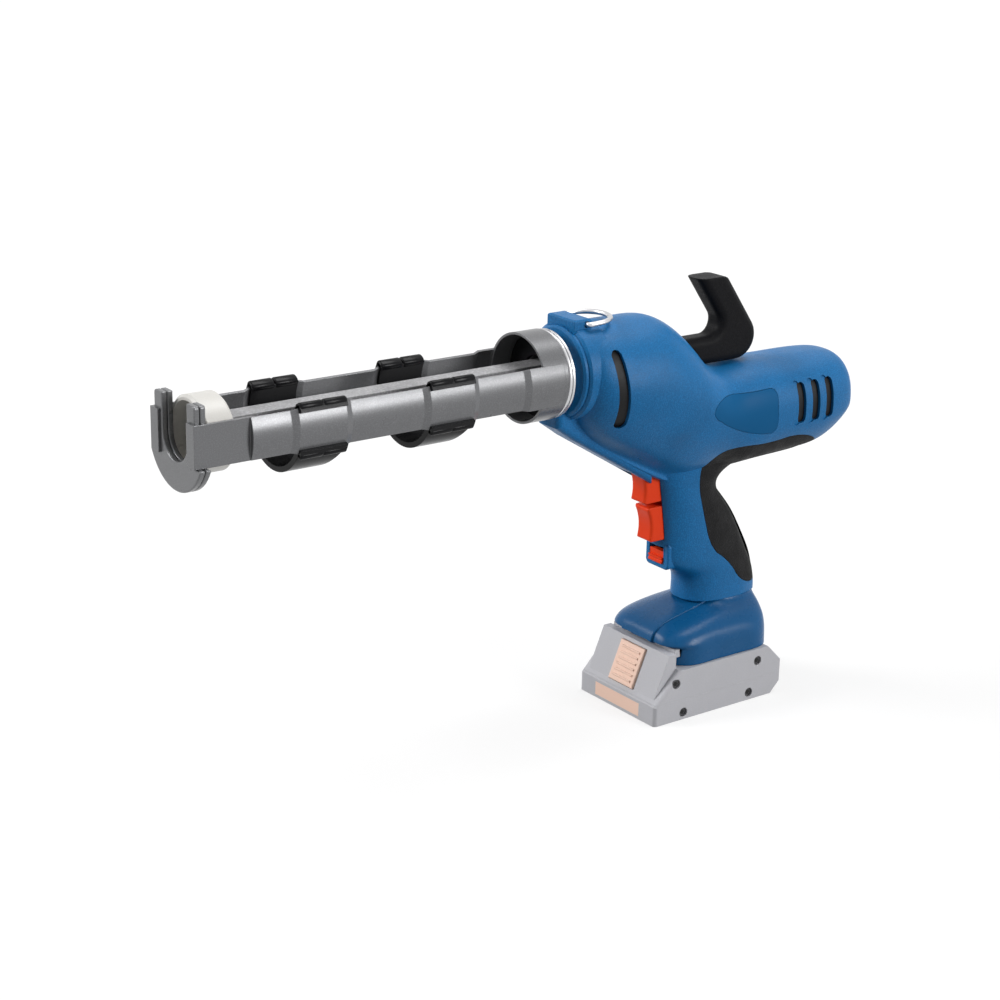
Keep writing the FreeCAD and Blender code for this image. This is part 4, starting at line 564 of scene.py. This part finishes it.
def saddle_beads(node):
    """The rolled lips of a saddle over the edges of both rails, each with a slit at its middle."""
    low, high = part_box(node)
    rail_low, rail_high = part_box("rail_left")
    axis_z = (rail_low[2] + rail_high[2]) / 2.0
    half = (high[0] - low[0] - BEAD_SLIT) / 2.0
    form = bmesh.new()
    for side in SIDES:
        for rise, radius, thick, tall in BEADS:
            turn = math.radians(rise)
            centre_y = side * radius * math.cos(turn)
            centre_z = axis_z + radius * math.sin(turn)
            tilt = turn if side > 0.0 else math.pi - turn
            for start in (low[0], low[0] + half + BEAD_SLIT):
                bead(form, start, half, centre_y, centre_z, tilt, thick, tall)
    piece = as_piece(f"{node}_beads", form, "saddle", "holder")
    piece.data.shade_smooth()


def bead(form, start, length, centre_y, centre_z, tilt, thick, tall):
    """A rolled bar along the barrel with rounded ends, its section tilted about the bar."""
    outwards = Vector((0.0, math.cos(tilt), math.sin(tilt)))
    upwards = Vector((0.0, -math.sin(tilt), math.cos(tilt)))
    steps = [(start + tall * share, scale) for share, scale in BEAD_END_STEPS]
    steps += [(start + length - tall * share, scale) for share, scale in reversed(BEAD_END_STEPS)]
    loops = []
    for x, scale in steps:
        centre = Vector((x, centre_y, centre_z))
        loops.append([centre + outwards * (squared(math.cos(turn)) * thick * scale)
                      + upwards * (squared(math.sin(turn)) * tall * scale)
                      for turn in turns(BEAD_POINTS)])
    capped_rings(form, loops)


def squared(part):
    """Draws a round section out towards a box."""
    return math.copysign(abs(part) ** BEAD_POWER, part)


def lock_boss():
    """A raised frame on the front of the grip round the lock slider, open for its travel."""
    low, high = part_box("lock_slider")
    front = high[0] - BOSS_SETBACK
    back = low[0] - BOSS_SINK
    hole_half = high[1] + BOSS_GAP
    hole_low = low[2] - BOSS_GAP
    hole_high = high[2] + BOSS_TRAVEL + BOSS_GAP
    loops = []
    for x, grow in ((back, 0.0), (front - BOSS_ROUND, 0.0), (front, -BOSS_ROUND)):
        loops.append(rounded_frame(x, hole_half + BOSS_SIDE + grow, hole_low - BOSS_BELOW - grow,
                                   hole_high + BOSS_ABOVE + grow))
    for x in (front, back):
        loops.append(rounded_frame(x, hole_half, hole_low, hole_high))
    form = bmesh.new()
    closed_rings(form, loops)
    as_piece("lock_boss", form, "shell", "housing")


def rounded_frame(x, half_width, bottom, top):
    """A closed loop of points round a box with rounded corners, square to the barrel."""
    corner = min(half_width, (top - bottom) / 2.0) * CORNER_SHARE
    points = []
    for centre_y, centre_z, start in ((half_width - corner, top - corner, 0.0),
                                      (corner - half_width, top - corner, 90.0),
                                      (corner - half_width, bottom + corner, 180.0),
                                      (half_width - corner, bottom + corner, 270.0)):
        for step in range(CORNER_STEPS + 1):
            turn = math.radians(start + 90.0 * step / CORNER_STEPS)
            points.append(Vector((x, centre_y + corner * math.cos(turn),
                                  centre_z + corner * math.sin(turn))))
    return points


def weld_spots():
    """Low domed spots where the rails are welded to the collar, on both sides."""
    low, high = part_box("collar_ring")
    centre_z = (low[2] + high[2]) / 2.0
    radius = (high[2] - low[2]) / 2.0
    form = bmesh.new()
    for side in SIDES:
        for angle in SPOT_ANGLES:
            turn = math.radians(angle)
            outwards = Vector((0.0, side * math.cos(turn), math.sin(turn)))
            base = Vector((SPOT_X, 0.0, centre_z)) + outwards * radius
            loops = []
            for share in SPOT_LEVELS:
                width = SPOT_RADIUS * math.sqrt(1.0 - max(share, 0.0) ** 2)
                level = base + outwards * (SPOT_RISE * share)
                loops.append(loop_at(level, outwards, [width] * SPOT_POINTS))
            capped_rings(form, loops)
    piece = as_piece("collar_weld_spots", form, "paint", "holder")
    piece.data.shade_smooth()


def drive_sockets(name, node, body):
    """Six-lobed drive sockets in the heads of a node's screws, drawn as near-black plugs just
    proud of the head: painted shade for the recesses.
    """
    form = bmesh.new()
    for solid in separate_solids(node):
        low = [min(point[axis] for point in solid) for axis in range(3)]
        high = [max(point[axis] for point in solid) for axis in range(3)]
        side = 1.0 if low[1] + high[1] > 0.0 else -1.0
        outwards = Vector((0.0, side, 0.0))
        face = Vector(((low[0] + high[0]) / 2.0, high[1] if side > 0.0 else low[1],
                       (low[2] + high[2]) / 2.0))
        reach = (high[0] - low[0]) / 2.0
        radii = [reach * (SOCKET_REACH + SOCKET_SWING * math.cos(SOCKET_LOBES * turn))
                 for turn in turns(SOCKET_POINTS)]
        capped_rings(form, [loop_at(face + outwards * level, outwards, radii)
                            for level in (-SOCKET_DEPTH, SOCKET_PROUD)])
    as_piece(name, form, "socket", body)


# Floor, light and camera

FLOOR_SIZE = 40.0
FLOOR_COLOUR = (0.30, 0.30, 0.30)
FLOOR_GLOW = 0.72
WORLD_LIGHT = 0.08
LAMP_DISTANCE = 3.0
# Name, direction towards the lamp, spread in degrees and level on a facing surface
LAMPS = (
    ("right", (-0.42, 0.88, 0.30), 24.0, 0.62),
    ("left", (0.74, -0.46, 0.50), 32.0, 0.72),
    ("top", (-0.32, 0.0, 0.95), 34.0, 0.52),
)
# Where the camera stands, which way its axes point, and its lens, all fitted to the photograph
CAMERA_PLACE = (0.8874, 0.9789, 0.5636)
CAMERA_RIGHT = (-0.8037422, 0.59458385, 0.02164532)
CAMERA_UP = (-0.16978372, -0.26407261, 0.94944149)
CAMERA_BACK = (0.57023851, 0.75943117, 0.31319696)
LENS_MM = 77.23
SENSOR_MM = 36.0
CLIP_START = 0.01
CLIP_END = 200.0


def background_rays(tree):
    """Marks the rays that see the background: the camera's, off gloss and through glass."""
    rays = tree.nodes.new("ShaderNodeLightPath")
    seen = rays.outputs["Is Camera Ray"]
    for name in ("Is Glossy Ray", "Is Transmission Ray"):
        either = tree.nodes.new("ShaderNodeMath")
        either.operation = "MAXIMUM"
        tree.links.new(seen, either.inputs[0])
        tree.links.new(rays.outputs[name], either.inputs[1])
        seen = either.outputs["Value"]
    return seen


def floor_material():
    """Pale floor that reads white to the camera and still takes the object's shadow."""
    material = bpy.data.materials.new("floor_pale")
    material.use_nodes = True
    tree = material.node_tree
    tree.nodes.clear()
    output = tree.nodes.new("ShaderNodeOutputMaterial")
    diffuse = tree.nodes.new("ShaderNodeBsdfDiffuse")
    diffuse.inputs["Color"].default_value = (*FLOOR_COLOUR, 1.0)
    glow = tree.nodes.new("ShaderNodeEmission")
    glow.inputs["Color"].default_value = WHITE
    share = tree.nodes.new("ShaderNodeMath")
    share.operation = "MULTIPLY"
    share.inputs[1].default_value = FLOOR_GLOW
    tree.links.new(background_rays(tree), share.inputs[0])
    tree.links.new(share.outputs["Value"], glow.inputs["Strength"])
    both = tree.nodes.new("ShaderNodeAddShader")
    tree.links.new(diffuse.outputs["BSDF"], both.inputs[0])
    tree.links.new(glow.outputs["Emission"], both.inputs[1])
    tree.links.new(both.outputs["Shader"], output.inputs["Surface"])
    return material


def make_floor():
    bpy.ops.mesh.primitive_plane_add(size=FLOOR_SIZE, location=(0.0, 0.0, 0.0))
    floor = bpy.context.object
    floor.name = "floor"
    floor.data.materials.append(floor_material())


def make_world():
    """A faint even light on the object, and white where the background shows."""
    world = bpy.data.worlds.new("studio")
    bpy.context.scene.world = world
    world.use_nodes = True
    tree = world.node_tree
    tree.nodes.clear()
    output = tree.nodes.new("ShaderNodeOutputWorld")
    light = tree.nodes.new("ShaderNodeBackground")
    light.inputs["Color"].default_value = WHITE
    light.inputs["Strength"].default_value = WORLD_LIGHT
    white = tree.nodes.new("ShaderNodeBackground")
    white.inputs["Color"].default_value = WHITE
    mix = tree.nodes.new("ShaderNodeMixShader")
    tree.links.new(background_rays(tree), mix.inputs["Fac"])
    tree.links.new(light.outputs["Background"], mix.inputs[1])
    tree.links.new(white.outputs["Background"], mix.inputs[2])
    tree.links.new(mix.outputs["Shader"], output.inputs["Surface"])


def soft_lamp(name, towards, spread, level):
    """A wide even lamp, far off in one direction, that lights a facing surface to a level."""
    data = bpy.data.lights.new(name, "SUN")
    data.angle = math.radians(spread)
    data.energy = level * math.pi
    lamp = bpy.data.objects.new(name, data)
    bpy.context.collection.objects.link(lamp)
    lamp.location = Vector(towards).normalized() * LAMP_DISTANCE
    lamp.rotation_euler = Vector(towards).to_track_quat("Z", "Y").to_euler()


def make_camera():
    data = bpy.data.cameras.new("photo_camera")
    data.sensor_fit = "HORIZONTAL"
    data.sensor_width = SENSOR_MM
    data.lens = LENS_MM
    data.clip_start = CLIP_START
    data.clip_end = CLIP_END
    camera = bpy.data.objects.new("photo_camera", data)
    bpy.context.collection.objects.link(camera)
    turn = Matrix((CAMERA_RIGHT, CAMERA_UP, CAMERA_BACK)).transposed().to_4x4()
    camera.matrix_world = Matrix.Translation(CAMERA_PLACE) @ turn
    bpy.context.scene.camera = camera


dress_nodes()
for plan in SOFTENED:
    softened(*plan)
foot_with_nose()
saddle_beads("saddle_front")
saddle_beads("saddle_rear")
lock_boss()
weld_spots()
drive_sockets("pack_screw_sockets", "battery_screws", "battery")
drive_sockets("housing_screw_sockets", "housing_screws", "housing")

make_floor()
make_world()
for plan in LAMPS:
    soft_lamp(*plan)
make_camera()
bpy.context.scene.view_settings.view_transform = "Standard"
